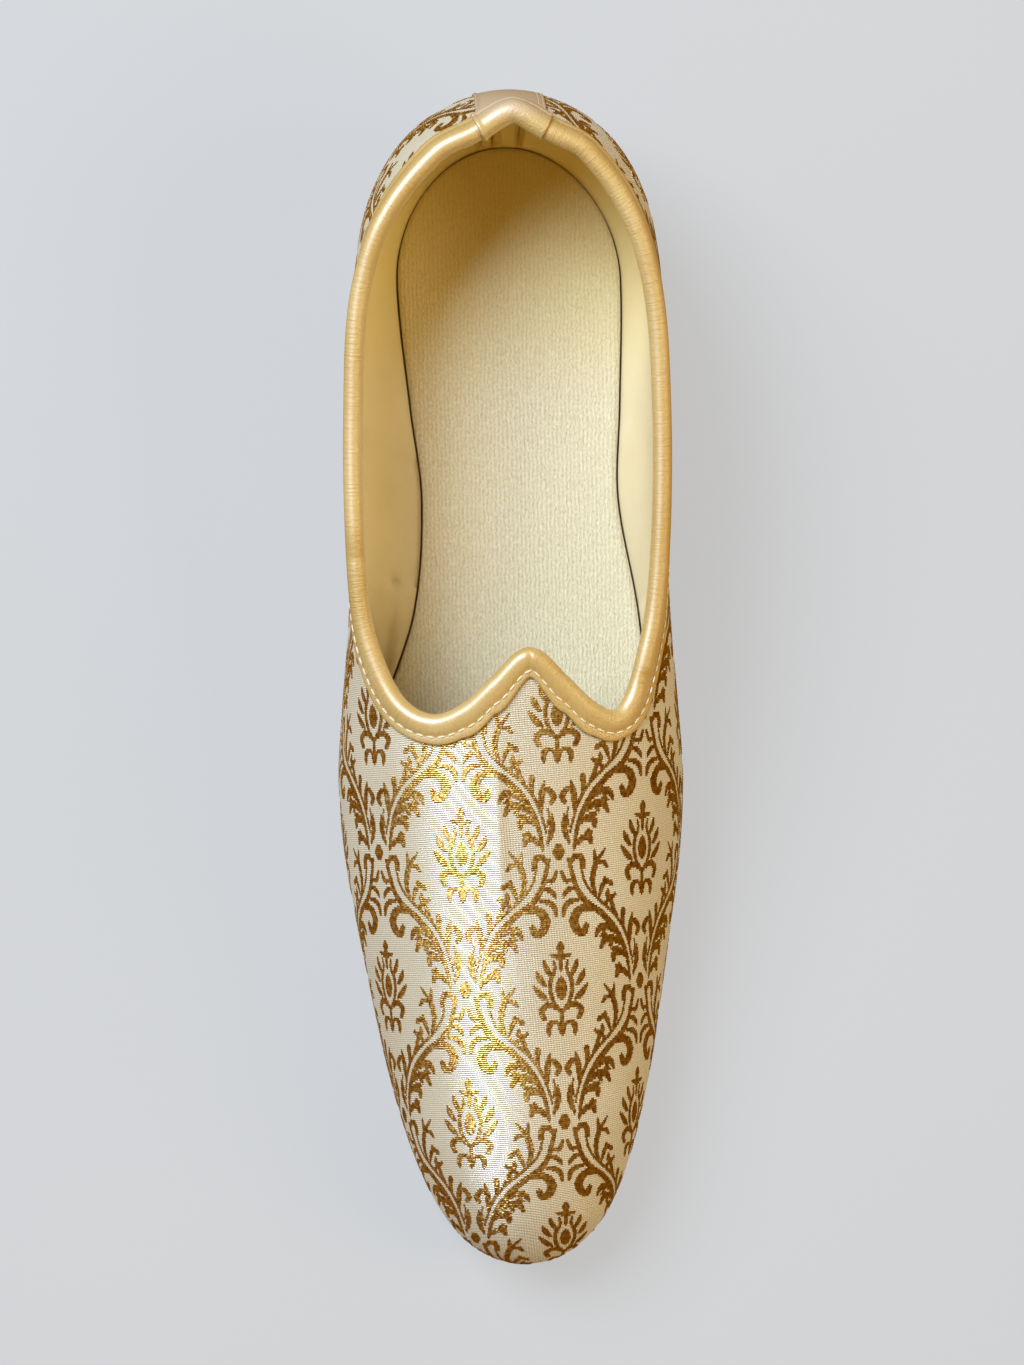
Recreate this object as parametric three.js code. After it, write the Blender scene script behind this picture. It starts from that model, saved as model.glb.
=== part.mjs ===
// Slip-on brocade shoe with a peaked throat, left foot.
// Millimetres, +Z up. The toe points along -Y, the heel along +Y, and +X is the outer (lateral) side.
// Lengths along the shoe are counted from the back of the heel towards the toe.
import * as THREE from "three";

// Driving sizes
const LENGTH = 290; // back of the heel to the tip of the toe
const HEEL_ROUND = 33; // length of the round end at the heel
const TOE_ROUND = 56; // length of the round end at the toe, in plan
const TOE_RISE = 40; // length over which the toe rises to the vamp's ridge
const SWING = 1.6; // how far the middle of the shoe swings to the inner side
const HEEL_TUCK = 5; // how far the upper tucks in under the back of the heel
const TOE_TUCK = 4; // the same at the toe
const WALL = 2.2; // brocade, interlining and lining together
const GAP = 0.3; // clearance between neighbouring pieces

// The form of the last, one row for each section along the shoe:
// girth is the half-width at the widest line, which lies at the height belly,
// outer and inner are the distances from the straight axis to the foot of the upper, at the height seat,
// ridge is the height of the vamp's middle and fullness how square its arch is.
const SECTIONS = [
  { along: 0, girth: 33.2, belly: 35, outer: 29.5, inner: 29.5, seat: 13.4, ridge: 70, fullness: 3.2 },
  { along: 22, girth: 34.0, belly: 36, outer: 30.3, inner: 30.3, seat: 13.2, ridge: 70, fullness: 3.2 },
  { along: 45, girth: 37.2, belly: 36, outer: 32.0, inner: 31.4, seat: 12.8, ridge: 70, fullness: 3.2 },
  { along: 72, girth: 37.8, belly: 35, outer: 31.4, inner: 29.4, seat: 12.0, ridge: 70, fullness: 3.2 },
  { along: 98, girth: 38.0, belly: 32, outer: 30.8, inner: 27.0, seat: 10.4, ridge: 67, fullness: 3.1 },
  { along: 128, girth: 39.6, belly: 25, outer: 34.6, inner: 32.6, seat: 8.2, ridge: 62, fullness: 2.9 },
  { along: 152, girth: 41.9, belly: 17, outer: 37.0, inner: 38.4, seat: 6.5, ridge: 57, fullness: 2.5 },
  { along: 168, girth: 43.0, belly: 14, outer: 38.3, inner: 40.5, seat: 5.7, ridge: 53.8, fullness: 2.25 },
  { along: 188, girth: 41.8, belly: 12.5, outer: 37.4, inner: 39.6, seat: 5.2, ridge: 50, fullness: 2.1 },
  { along: 220, girth: 36.8, belly: 12, outer: 33.0, inner: 35.2, seat: 5.6, ridge: 44.4, fullness: 2.05 },
  { along: 245, girth: 32.7, belly: 12.6, outer: 29.4, inner: 30.8, seat: 6.9, ridge: 40.4, fullness: 2.05 },
  { along: 268, girth: 31.6, belly: 13.6, outer: 28.5, inner: 29.3, seat: 8.4, ridge: 37, fullness: 2.05 },
  { along: 290, girth: 33.8, belly: 15, outer: 30.4, inner: 30.4, seat: 10.2, ridge: 34, fullness: 2.05 },
];

// The top edge of the upper, from the back of the heel round to the peak of the throat.
// rib is the share of the way round the outline from which the wall rises to this place,
// outer and inner are the distances from the shoe's straight axis on its two sides.
const COLLAR = [
  { place: "back seam", rib: 0, along: 8.8, outer: 0, inner: 0, height: 67 },
  { place: "beside the back strip", rib: 0.04, along: 12.9, outer: 8.9, inner: 9.2, height: 66.4 },
  { place: "round of heel", rib: 0.0825, along: 17.6, outer: 17.8, inner: 18.8, height: 65 },
  { place: "side of heel", rib: 0.165, along: 34, outer: 29.2, inner: 32.4, height: 61.4 },
  { place: "end of heel", rib: 0.215, along: 52, outer: 34.2, inner: 38.2, height: 57.6 },
  { place: "waist", rib: 0.288, along: 78, outer: 35.8, inner: 40.1, height: 54 },
  { place: "instep", rib: 0.364, along: 103.5, outer: 35.4, inner: 40.4, height: 52.2 },
  { place: "side of throat", rib: 0.431, along: 125, outer: 33.5, inner: 39.2, height: 51.6 },
  { place: "turn of throat", rib: 0.5, along: 139, outer: 30.2, inner: 35.2, height: 52.4 },
  { place: "corner of throat", rib: 0.585, along: 148.6, outer: 26.8, inner: 29.6, height: 53.4 },
  { place: "valley", rib: 0.69, along: 152.4, outer: 22.2, inner: 21.6, height: 54.4 },
  { place: "foot of peak", rib: 0.79, along: 149.6, outer: 16, inner: 13.6, height: 55.6 },
  { place: "side of peak", rib: 0.895, along: 143.4, outer: 9.4, inner: 6.4, height: 57.4 },
  { place: "peak", rib: 1, along: 136.8, outer: 1.6, inner: -1.6, height: 59.8 },
];

// The wall changes from an upright quarter to an arched vamp between these ribs.
const QUARTER_ENDS = 0.366;
const VAMP_BEGINS = 0.54;

// The footbed, cut for the left foot: hollowed at the inner waist. It stops short of the upper.
const FOOTBED = [
  { along: 0, outer: 26.4, inner: 26.4 },
  { along: 45, outer: 28.4, inner: 27.0 },
  { along: 75, outer: 27.6, inner: 24.4 },
  { along: 98, outer: 26.8, inner: 22.0 },
  { along: 126, outer: 31.4, inner: 24.6 },
  { along: 152, outer: 33.8, inner: 33.4 },
  { along: 170, outer: 34.6, inner: 36.2 },
  { along: 190, outer: 33.6, inner: 35.4 },
  { along: 220, outer: 29.2, inner: 31.0 },
  { along: 245, outer: 25.6, inner: 26.8 },
  { along: 290, outer: 25.4, inner: 25.4 },
];
const FOOTBED_THICK = 3;
const FOOTBED_HEEL = 10.5; // back edge of the footbed, from the back of the heel
const FOOTBED_TOE = 279; // front edge
const FOOTBED_EDGE = 0.7; // how far its rim is rounded down

// Underside of the sole: a low heel block, an arch and a flat forefoot with toe spring.
const TREAD = [
  { along: 0, under: 0 },
  { along: 63, under: 0 },
  { along: 65.5, under: 6.6 },
  { along: 86, under: 6.2 },
  { along: 108, under: 4.4 },
  { along: 130, under: 1.9 },
  { along: 147, under: 0 },
  { along: 216, under: 0 },
  { along: 240, under: 0.9 },
  { along: 264, under: 2.7 },
  { along: 290, under: 5.4 },
];
const SOLE_MARGIN = 1; // how far the sole stands out past the upper's foot
const SOLE_EDGE = 1.2; // rounding of the sole's lower rim

// Rolled binding of the top edge. Its section wraps the wall:
// depth is measured down the wall from its edge, lift out from the wall's face.
const BINDING_OUTSIDE = 4.8; // width of the binding on the outside, with its stitched lip
const BINDING_INSIDE = 4.2; // width on the lining side
const BINDING_TOP = 2.1; // height of the roll above the wall's edge
const BINDING_THICK = 0.6; // thickness of the lip

// Half of the roll's section, from the lip up to its top. bulge is its thickness over the lip's.
const ROLL = [
  { depth: 2.6, bulge: 0.1 },
  { depth: 1.2, bulge: 0.25 },
  { depth: -0.5, bulge: 0.25 },
  { depth: -1.6, bulge: -0.2 },
];

// Strip over the back seam, which wraps over the binding and ends under it on the lining side
const STRIP_WIDTH = 16.6;
const STRIP_THICK = 0.5;
const STRIP_FOOT = 0.02; // share of the wall's rise that it leaves free above the sole
const STRIP_RAMP = 1; // length over which it climbs from the wall onto the binding

// Numbers of facets
const RIBS_PER_SIDE = 44;
const HEEL_RIBS = 2; // extra ribs on each side, between the back seam and the first of the even ribs
const LOWER_STEPS = 4;
const UPPER_STEPS = 9;
const EDGE_STEPS = 3; // the last of the upper steps is split again, under the binding
const SOLE_STEPS = 46;
const STRIP_STEPS = 6;
const STRIP_RISE_STEPS = 9;
const SPACING_EVENNESS = 0.35; // 0 crowds the sole's sections at its ends, 1 spaces them evenly
const TIP = 0.25; // the round ends of sole and footbed are cut off this far from their very tips
const RIM = 0.94; // share of the half-width at which the rim of sole or footbed begins
const NEAR = 0.004; // small step for slopes and normals

// Smooth curve through the rows of a table: cubic pieces with slopes from the neighbouring rows.
function curveThrough(knots, values) {
  const last = knots.length - 1;
  const slope = (i) => {
    const a = Math.max(i - 1, 0);
    const b = Math.min(i + 1, last);
    return (values[b] - values[a]) / (knots[b] - knots[a]);
  };
  return (x) => {
    let i = 0;
    while (i < last - 1 && x > knots[i + 1]) i += 1;
    const width = knots[i + 1] - knots[i];
    const t = THREE.MathUtils.clamp((x - knots[i]) / width, 0, 1);
    const t2 = t * t;
    const t3 = t2 * t;
    return (
      values[i] * (2 * t3 - 3 * t2 + 1) +
      slope(i) * width * (t3 - 2 * t2 + t) +
      values[i + 1] * (3 * t2 - 2 * t3) +
      slope(i + 1) * width * (t3 - t2)
    );
  };
}

function column(table, name) {
  return curveThrough(
    table.map((row) => row.along),
    table.map((row) => row[name]),
  );
}

const girth = column(SECTIONS, "girth");
const belly = column(SECTIONS, "belly");
const outerSeat = column(SECTIONS, "outer");
const innerSeat = column(SECTIONS, "inner");
const seat = column(SECTIONS, "seat");
const ridge = column(SECTIONS, "ridge");
const fullness = column(SECTIONS, "fullness");
const footbedOuter = column(FOOTBED, "outer");
const footbedInner = column(FOOTBED, "inner");

// Straight pieces between the rows of the tread, so that its flats stay flat.
function under(along) {
  const i = Math.max(1, TREAD.findIndex((row) => row.along >= along));
  const [a, b] = [TREAD[i - 1], TREAD[i]];
  return THREE.MathUtils.mapLinear(along, a.along, b.along, a.under, b.under);
}

const centre = (along) => -SWING * Math.sin((Math.PI * along) / LENGTH);
const point = (x, along, z) => new THREE.Vector3(x, LENGTH / 2 - along, z);

// Position on the outline for a share rib of the way from the heel (0) to the toe (1):
// the distance along and the roundness, which is 1 between the two round ends.
const HEEL_ARC = (HEEL_ROUND * Math.PI) / 2;
const TOE_ARC = (TOE_ROUND * Math.PI) / 2;
const SIDE = LENGTH - HEEL_ROUND - TOE_ROUND;
const AROUND = HEEL_ARC + SIDE + TOE_ARC;

function footing(rib) {
  const way = rib * AROUND;
  if (way < HEEL_ARC) {
    const angle = way / HEEL_ROUND;
    return { along: HEEL_ROUND * (1 - Math.cos(angle)), round: Math.sin(angle) };
  }
  if (way > HEEL_ARC + SIDE) {
    const angle = (AROUND - way) / TOE_ROUND;
    return { along: LENGTH - TOE_ROUND * (1 - Math.cos(angle)), round: Math.sin(angle) };
  }
  return { along: HEEL_ROUND + way - HEEL_ARC, round: 1 };
}

// Closing factor of a round toe, which is 1 further back than the given length.
function toeRound(along, length) {
  const left = Math.max(LENGTH - along, 0);
  return left < length ? Math.sqrt(1 - (1 - left / length) ** 2) : 1;
}

// A turn runs once round the shoe: 0 at the heel, 1 at the toe, on the outer side first, and back to 2.
function sideOf(turn) {
  const wrapped = THREE.MathUtils.euclideanModulo(turn, 2);
  return wrapped <= 1 ? { rib: wrapped, side: 1 } : { rib: 2 - wrapped, side: -1 };
}

// The whole top edge as one closed loop, with rows repeated past both ends to keep it smooth there.
function collarLoop() {
  const outer = COLLAR.map((row) => ({ turn: row.rib, x: row.outer, ...row }));
  const inner = COLLAR.slice(1, -1).map((row) => ({ ...row, turn: 2 - row.rib, x: -row.inner }));
  const once = [...outer, ...inner.reverse()];
  const before = once.slice(-2).map((row) => ({ ...row, turn: row.turn - 2 }));
  const after = once.slice(0, 3).map((row) => ({ ...row, turn: row.turn + 2 }));
  const rows = [...before, ...once, ...after];
  const turns = rows.map((row) => row.turn);
  const of = (name) => curveThrough(turns, rows.map((row) => row[name]));
  return { x: of("x"), along: of("along"), height: of("height") };
}
const collar = collarLoop();

// Height of the arched vamp over a place in plan.
function vampHeight(x, along) {
  const low = belly(along);
  const top = low + (ridge(along) - low) * toeRound(along, TOE_RISE);
  const reach = girth(along) * toeRound(along, TOE_ROUND);
  const share = reach > 0 ? Math.min(Math.abs(x - centre(along)) / reach, 1) : 1;
  const power = fullness(along);
  return low + (top - low) * (1 - share ** power) ** (1 / power);
}

// A point of the upper's outer face. rise is 0 at the sole, BELLY_RISE at the widest line, 1 at the top edge.
const BELLY_RISE = 0.3;

function outerFace(turn, rise) {
  const { rib, side } = sideOf(turn);
  const { along, round } = footing(rib);
  const bellyX = centre(along) + side * girth(along) * round;
  const bellyZ = belly(along);
  if (rise <= BELLY_RISE) {
    const footAlong = HEEL_TUCK + (along * (LENGTH - HEEL_TUCK - TOE_TUCK)) / LENGTH;
    const seatWidth = side > 0 ? outerSeat(along) : innerSeat(along);
    const footX = side * seatWidth * round;
    const footZ = seat(footAlong) + GAP;
    const part = rise / BELLY_RISE;
    const angle = (part * Math.PI) / 2;
    const out = Math.sin(angle);
    const up = (part + 1 - Math.cos(angle)) / 2;
    return point(
      THREE.MathUtils.lerp(footX, bellyX, out),
      THREE.MathUtils.lerp(footAlong, along, out),
      THREE.MathUtils.lerp(footZ, bellyZ, up),
    );
  }
  const part = (rise - BELLY_RISE) / (1 - BELLY_RISE);
  const top = { x: collar.x(turn), along: collar.along(turn), z: collar.height(turn) };
  const lean = part ** 2;
  const quarter = point(
    THREE.MathUtils.lerp(bellyX, top.x, lean),
    THREE.MathUtils.lerp(along, top.along, lean),
    THREE.MathUtils.lerp(bellyZ, top.z, part),
  );
  const inward = part ** fullness(along);
  const vampX = THREE.MathUtils.lerp(bellyX, top.x, inward);
  const vampAlong = THREE.MathUtils.lerp(along, top.along, inward);
  const vamp = point(vampX, vampAlong, vampHeight(vampX, vampAlong));
  return quarter.lerp(vamp, THREE.MathUtils.smoothstep(rib, QUARTER_ENDS, VAMP_BEGINS));
}

// Outward normal of the outer face, from neighbouring points.
function outward(turn, rise) {
  const around = outerFace(turn + NEAR, rise).sub(outerFace(turn - NEAR, rise));
  const up = outerFace(turn, Math.min(rise + NEAR, 1)).sub(outerFace(turn, Math.max(rise - NEAR, 0)));
  return up.cross(around).normalize();
}

// A point at a distance lift out from the outer face, or inside it where lift is negative.
const lifted = (turn, rise, lift) => outerFace(turn, rise).addScaledVector(outward(turn, rise), lift);

// A place near the top edge: depth down the wall from its edge, or above the edge where depth is negative.
function atEdge(turn, depth, lift) {
  const edge = outerFace(turn, 1);
  const along = outerFace(turn + NEAR, 1).sub(outerFace(turn - NEAR, 1)).normalize();
  const rib = edge.clone().sub(outerFace(turn, 1 - NEAR));
  const perRise = rib.length() / NEAR;
  const slant = rib.normalize().clone().cross(along).length();
  if (depth > 0) return lifted(turn, 1 - depth / (perRise * slant), lift);
  const normal = outward(turn, 1);
  const off = along.cross(normal).normalize();
  if (off.dot(rib) < 0) off.negate();
  return edge.addScaledVector(off, -depth).addScaledVector(normal, lift);
}

// A closed solid from triangles. Its faces are turned outwards.
function solid(points, faces) {
  const geometry = new THREE.BufferGeometry().setFromPoints(points);
  let volume = 0;
  for (const [a, b, c] of faces) {
    volume += points[a].dot(new THREE.Vector3().crossVectors(points[b], points[c])) / 6;
  }
  const index = volume < 0 ? faces.map(([a, b, c]) => [a, c, b]) : faces;
  geometry.setIndex(index.flat());
  geometry.computeVertexNormals();
  return geometry;
}

// A closed section carried round a closed loop.
function ring(sections) {
  const size = sections[0].length;
  const faces = [];
  sections.forEach((_, i) => {
    const next = (i + 1) % sections.length;
    for (let j = 0; j < size; j += 1) {
      const k = (j + 1) % size;
      const [a, b, c, d] = [i * size + j, i * size + k, next * size + k, next * size + j];
      faces.push([a, b, c], [a, c, d]);
    }
  });
  return solid(sections.flat(), faces);
}

// A slab between two faces, each a grid of points with the same rows and columns.
function slab(topRows, bottomRows) {
  const rows = topRows.length;
  const columns = topRows[0].length;
  const count = rows * columns;
  const faces = [];
  const quad = (a, b, c, d) => faces.push([a, b, c], [a, c, d]);
  for (let i = 0; i + 1 < rows; i += 1) {
    for (let j = 0; j + 1 < columns; j += 1) {
      const a = i * columns + j;
      const [b, c, d] = [a + 1, a + columns + 1, a + columns];
      quad(a, b, c, d);
      quad(count + d, count + c, count + b, count + a);
    }
  }
  const rim = [];
  for (let j = 0; j < columns - 1; j += 1) rim.push(j);
  for (let i = 0; i < rows - 1; i += 1) rim.push(i * columns + columns - 1);
  for (let j = columns - 1; j > 0; j -= 1) rim.push((rows - 1) * columns + j);
  for (let i = rows - 1; i > 0; i -= 1) rim.push(i * columns);
  rim.forEach((a, n) => {
    const b = rim[(n + 1) % rim.length];
    quad(b, a, count + a, count + b);
  });
  return solid([...topRows.flat(), ...bottomRows.flat()], faces);
}

const shares = (steps) => Array.from({ length: steps + 1 }, (_, i) => i / steps);

// Turns of the ribs, once round the shoe. They are closer together at the back seam.
function ribTurns() {
  const first = 1 / RIBS_PER_SIDE;
  const extra = shares(HEEL_RIBS + 1).slice(1, -1).map((share) => share * first);
  const even = shares(2 * RIBS_PER_SIDE).slice(1, -1).map((share) => 2 * share);
  return [0, ...extra, ...even, ...extra.map((turn) => 2 - turn).reverse()];
}

// Upper: one hollow wall, open along the top edge and underneath.
function upperGeometry() {
  const last = 1 / UPPER_STEPS;
  const rises = [
    ...shares(LOWER_STEPS).map((part) => part * BELLY_RISE),
    ...[
      ...shares(UPPER_STEPS).slice(1, -1),
      ...shares(EDGE_STEPS).slice(1).map((part) => 1 - last + part * last),
    ].map((part) => BELLY_RISE + part * (1 - BELLY_RISE)),
  ];
  const sections = ribTurns().map((turn) => [
    ...rises.map((rise) => outerFace(turn, rise)),
    ...[...rises].reverse().map((rise) => lifted(turn, rise, -WALL)),
  ]);
  return ring(sections);
}

// Places along the binding's section, from its lip on the outside over the roll to its edge on the lining.
// spread moves the whole line away from the wall, for what lies over the binding.
function bindingLine(spread) {
  const thick = GAP + BINDING_THICK + spread;
  const outside = [{ depth: BINDING_OUTSIDE, lift: thick }];
  const inside = [{ depth: BINDING_INSIDE, lift: -WALL - thick }];
  for (const { depth, bulge } of ROLL) {
    const raised = depth < 0 ? depth - spread : depth;
    outside.push({ depth: raised, lift: thick + bulge });
    inside.unshift({ depth: raised, lift: -WALL - thick - bulge });
  }
  const crown = { depth: -BINDING_TOP - spread, lift: -WALL / 2 };
  return [...outside, crown, ...inside];
}

// Binding: a channel that hugs both faces of the wall and rolls over its edge.
function bindingGeometry() {
  const channel = [
    { depth: BINDING_INSIDE, lift: -WALL - GAP },
    { depth: BINDING_INSIDE / 2, lift: -WALL - GAP },
    { depth: -GAP, lift: -WALL - GAP },
    { depth: -GAP, lift: GAP },
    { depth: BINDING_OUTSIDE / 2, lift: GAP },
    { depth: BINDING_OUTSIDE, lift: GAP },
  ];
  const section = [...bindingLine(0), ...channel];
  return ring(ribTurns().map((turn) => section.map(({ depth, lift }) => atEdge(turn, depth, lift))));
}

// Turns across the strip's width at a height of the back seam.
function stripTurns(rise) {
  const perTurn = outerFace(NEAR, rise).distanceTo(outerFace(-NEAR, rise)) / (2 * NEAR);
  const half = STRIP_WIDTH / 2 / perTurn;
  return shares(STRIP_STEPS).map((share) => half * (2 * share - 1));
}

// Strip: runs up the back seam from the sole and over the binding.
function stripGeometry() {
  const perRise = outerFace(0, 1).distanceTo(outerFace(0, 1 - NEAR)) / NEAR;
  const last = 1 - (BINDING_OUTSIDE + STRIP_RAMP) / perRise;
  const rises = shares(STRIP_RISE_STEPS).map((share) => THREE.MathUtils.lerp(STRIP_FOOT, last, share));
  const face = (spread) => [
    ...rises.map((rise) => stripTurns(rise).map((turn) => lifted(turn, rise, spread))),
    ...bindingLine(spread).map(({ depth, lift }) => stripTurns(1).map((turn) => atEdge(turn, depth, lift))),
  ];
  return slab(face(GAP + STRIP_THICK), face(GAP));
}

// Stations along a piece with round ends, closer together where the ends turn.
function stations(from, to, corners) {
  const crowded = (share) => (1 - Math.cos(Math.PI * share)) / 2;
  const places = shares(SOLE_STEPS).map((share) => {
    const mixed = THREE.MathUtils.lerp(crowded(share), share, SPACING_EVENNESS);
    return THREE.MathUtils.lerp(from + TIP, to - TIP, mixed);
  });
  return [...places, ...corners].sort((a, b) => a - b);
}

// Closing factor of a piece with two round ends, which is 1 between them.
function endRound(along, from, to) {
  const quarter = (share) => Math.sqrt(1 - (1 - THREE.MathUtils.clamp(share, 0, 1)) ** 2);
  return quarter((along - from) / HEEL_ROUND) * quarter((to - along) / TOE_ROUND);
}

// One face of the sole or footbed. height takes the place along and whether it is at the rim.
function bedFace(places, width, height) {
  const across = [-1, -RIM, 0, RIM, 1];
  return places.map((along) =>
    across.map((share) => point(share * width(along, share), along, height(along, Math.abs(share) === 1))),
  );
}

// Sole: its outline stands a little outside the foot of the upper.
function soleGeometry() {
  const from = HEEL_TUCK - SOLE_MARGIN;
  const to = LENGTH - TOE_TUCK + SOLE_MARGIN;
  const corners = TREAD.slice(1, -1).map((row) => row.along);
  const places = stations(from, to, corners);
  const width = (along, side) => {
    const onLast = ((along - HEEL_TUCK) * LENGTH) / (LENGTH - HEEL_TUCK - TOE_TUCK);
    const foot = side > 0 ? outerSeat(onLast) : innerSeat(onLast);
    return (foot + SOLE_MARGIN) * endRound(along, from, to);
  };
  const top = bedFace(places, width, (along) => seat(along));
  const bottom = bedFace(places, width, (along, rim) => under(along) + (rim ? SOLE_EDGE : 0));
  return slab(top, bottom);
}

// Footbed: a padded sock that lies on the sole inside the upper.
function footbedGeometry() {
  const places = stations(FOOTBED_HEEL, FOOTBED_TOE, []);
  const width = (along, side) => {
    const half = side > 0 ? footbedOuter(along) : footbedInner(along);
    return half * endRound(along, FOOTBED_HEEL, FOOTBED_TOE);
  };
  const low = (along) => seat(along) + GAP;
  const top = bedFace(places, width, (along, rim) => low(along) + FOOTBED_THICK - (rim ? FOOTBED_EDGE : 0));
  return slab(top, bedFace(places, width, low));
}

// Finishes
const ivoryBrocade = new THREE.MeshStandardMaterial({ color: 0xe6dcc0, roughness: 0.75, metalness: 0 });
const goldLeatherette = new THREE.MeshStandardMaterial({ color: 0xd2b06a, roughness: 0.4, metalness: 0.15 });
const creamFelt = new THREE.MeshStandardMaterial({ color: 0xdccf9f, roughness: 0.95, metalness: 0 });
const tanSole = new THREE.MeshStandardMaterial({ color: 0xa98556, roughness: 0.7, metalness: 0 });

function piece(name, geometry, material) {
  const mesh = new THREE.Mesh(geometry, material);
  mesh.name = name;
  return mesh;
}

const shoe = new THREE.Group();
shoe.name = "brocade_slip_on";
shoe.add(
  piece("upper", upperGeometry(), ivoryBrocade),
  piece("topline_binding", bindingGeometry(), goldLeatherette),
  piece("heel_strip", stripGeometry(), goldLeatherette),
  piece("insole", footbedGeometry(), creamFelt),
  piece("outsole", soleGeometry(), tanSole),
);

// The origin lies under the middle of the shoe's box, on the floor.
const box = new THREE.Box3().setFromObject(shoe);
const middle = box.getCenter(new THREE.Vector3());
shoe.children.forEach((mesh) => mesh.position.set(-middle.x, -middle.y, -box.min.z));

export default shoe;
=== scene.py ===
import math

import bpy
import numpy as np
from mathutils import Matrix, Vector
from mathutils.bvhtree import BVHTree


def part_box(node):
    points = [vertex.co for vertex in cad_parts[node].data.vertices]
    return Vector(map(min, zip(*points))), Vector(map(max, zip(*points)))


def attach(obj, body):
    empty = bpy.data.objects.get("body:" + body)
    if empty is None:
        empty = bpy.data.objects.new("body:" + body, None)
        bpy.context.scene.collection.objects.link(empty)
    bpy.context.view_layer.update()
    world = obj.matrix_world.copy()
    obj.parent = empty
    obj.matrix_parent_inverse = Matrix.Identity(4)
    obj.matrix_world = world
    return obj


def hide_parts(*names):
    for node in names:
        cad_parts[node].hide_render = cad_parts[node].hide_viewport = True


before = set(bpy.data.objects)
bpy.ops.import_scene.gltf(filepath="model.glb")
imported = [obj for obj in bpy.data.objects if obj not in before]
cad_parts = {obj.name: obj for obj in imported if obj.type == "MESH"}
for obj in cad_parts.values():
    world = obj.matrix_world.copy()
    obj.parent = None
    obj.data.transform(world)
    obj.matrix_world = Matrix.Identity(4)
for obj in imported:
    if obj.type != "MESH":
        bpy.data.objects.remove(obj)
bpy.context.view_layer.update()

# Sizes of the last in millimetres, as the solids have them. "along" runs from the heel to the toe.
MM = 0.001
LENGTH = 290.0
HEEL_ROUND = 33.0
TOE_ROUND = 56.0
TOE_RISE = 40.0
SWING = 1.6
HEEL_TUCK = 5.0
TOE_TUCK = 4.0
WALL = 2.2
GAP = 0.3
BELLY_RISE = 0.3
QUARTER_ENDS = 0.366
VAMP_BEGINS = 0.54
# Step for slopes, as a share of the outline or of the wall's height, and what counts as nothing
NEAR = 0.004
TINY = 1e-12
# Millimetres of a piece's flat map in one unit of its UV map
UV_UNIT = 100.0

# along, girth, belly, outer, inner, seat, ridge, fullness
SECTIONS = np.array([
    (0, 33.2, 35, 29.5, 29.5, 13.4, 70, 3.2),
    (22, 34.0, 36, 30.3, 30.3, 13.2, 70, 3.2),
    (45, 37.2, 36, 32.0, 31.4, 12.8, 70, 3.2),
    (72, 37.8, 35, 31.4, 29.4, 12.0, 70, 3.2),
    (98, 38.0, 32, 30.8, 27.0, 10.4, 67, 3.1),
    (128, 39.6, 25, 34.6, 32.6, 8.2, 62, 2.9),
    (152, 41.9, 17, 37.0, 38.4, 6.5, 57, 2.5),
    (168, 43.0, 14, 38.3, 40.5, 5.7, 53.8, 2.25),
    (188, 41.8, 12.5, 37.4, 39.6, 5.2, 50, 2.1),
    (220, 36.8, 12, 33.0, 35.2, 5.6, 44.4, 2.05),
    (245, 32.7, 12.6, 29.4, 30.8, 6.9, 40.4, 2.05),
    (268, 31.6, 13.6, 28.5, 29.3, 8.4, 37, 2.05),
    (290, 33.8, 15, 30.4, 30.4, 10.2, 34, 2.05),
], float)

# rib, along, outer, inner, height: the top edge from the back of the heel round to the throat's peak
COLLAR = [
    (0, 8.8, 0, 0, 67),
    (0.04, 12.9, 8.9, 9.2, 66.4),
    (0.0825, 17.6, 17.8, 18.8, 65),
    (0.165, 34, 29.2, 32.4, 61.4),
    (0.215, 52, 34.2, 38.2, 57.6),
    (0.288, 78, 35.8, 40.1, 54),
    (0.364, 103.5, 35.4, 40.4, 52.2),
    (0.431, 125, 33.5, 39.2, 51.6),
    (0.5, 139, 30.2, 35.2, 52.4),
    (0.585, 148.6, 26.8, 29.6, 53.4),
    (0.69, 152.4, 22.2, 21.6, 54.4),
    (0.79, 149.6, 16, 13.6, 55.6),
    (0.895, 143.4, 9.4, 6.4, 57.4),
    (1, 136.8, 1.6, -1.6, 59.8),
]

# along, outer, inner
FOOTBED = np.array([
    (0, 26.4, 26.4),
    (45, 28.4, 27.0),
    (75, 27.6, 24.4),
    (98, 26.8, 22.0),
    (126, 31.4, 24.6),
    (152, 33.8, 33.4),
    (170, 34.6, 36.2),
    (190, 33.6, 35.4),
    (220, 29.2, 31.0),
    (245, 25.6, 26.8),
    (290, 25.4, 25.4),
], float)
FOOTBED_THICK = 3.0
FOOTBED_HEEL = 10.5
FOOTBED_TOE = 279.0
FOOTBED_EDGE = 0.7

# along, under
TREAD = np.array([
    (0, 0), (63, 0), (65.5, 6.6), (86, 6.2), (108, 4.4), (130, 1.9), (147, 0),
    (216, 0), (240, 0.9), (264, 2.7), (290, 5.4),
], float)
SOLE_MARGIN = 1.0
SOLE_EDGE = 1.2
STRIP_WIDTH = 16.6
STRIP_FOOT = 0.02
STRIP_RAMP = 1.0

# Weave of the brocade: one gilt pick every PICK, stepped by the warp at WARP
PICK = 0.5
WARP = 0.25
COLUMN = 23.5
REPEAT = 67.0
FIRST_COLUMN = 9.5
FIRST_KNOT = 184.0
FELT_RIB = 1.05


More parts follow.
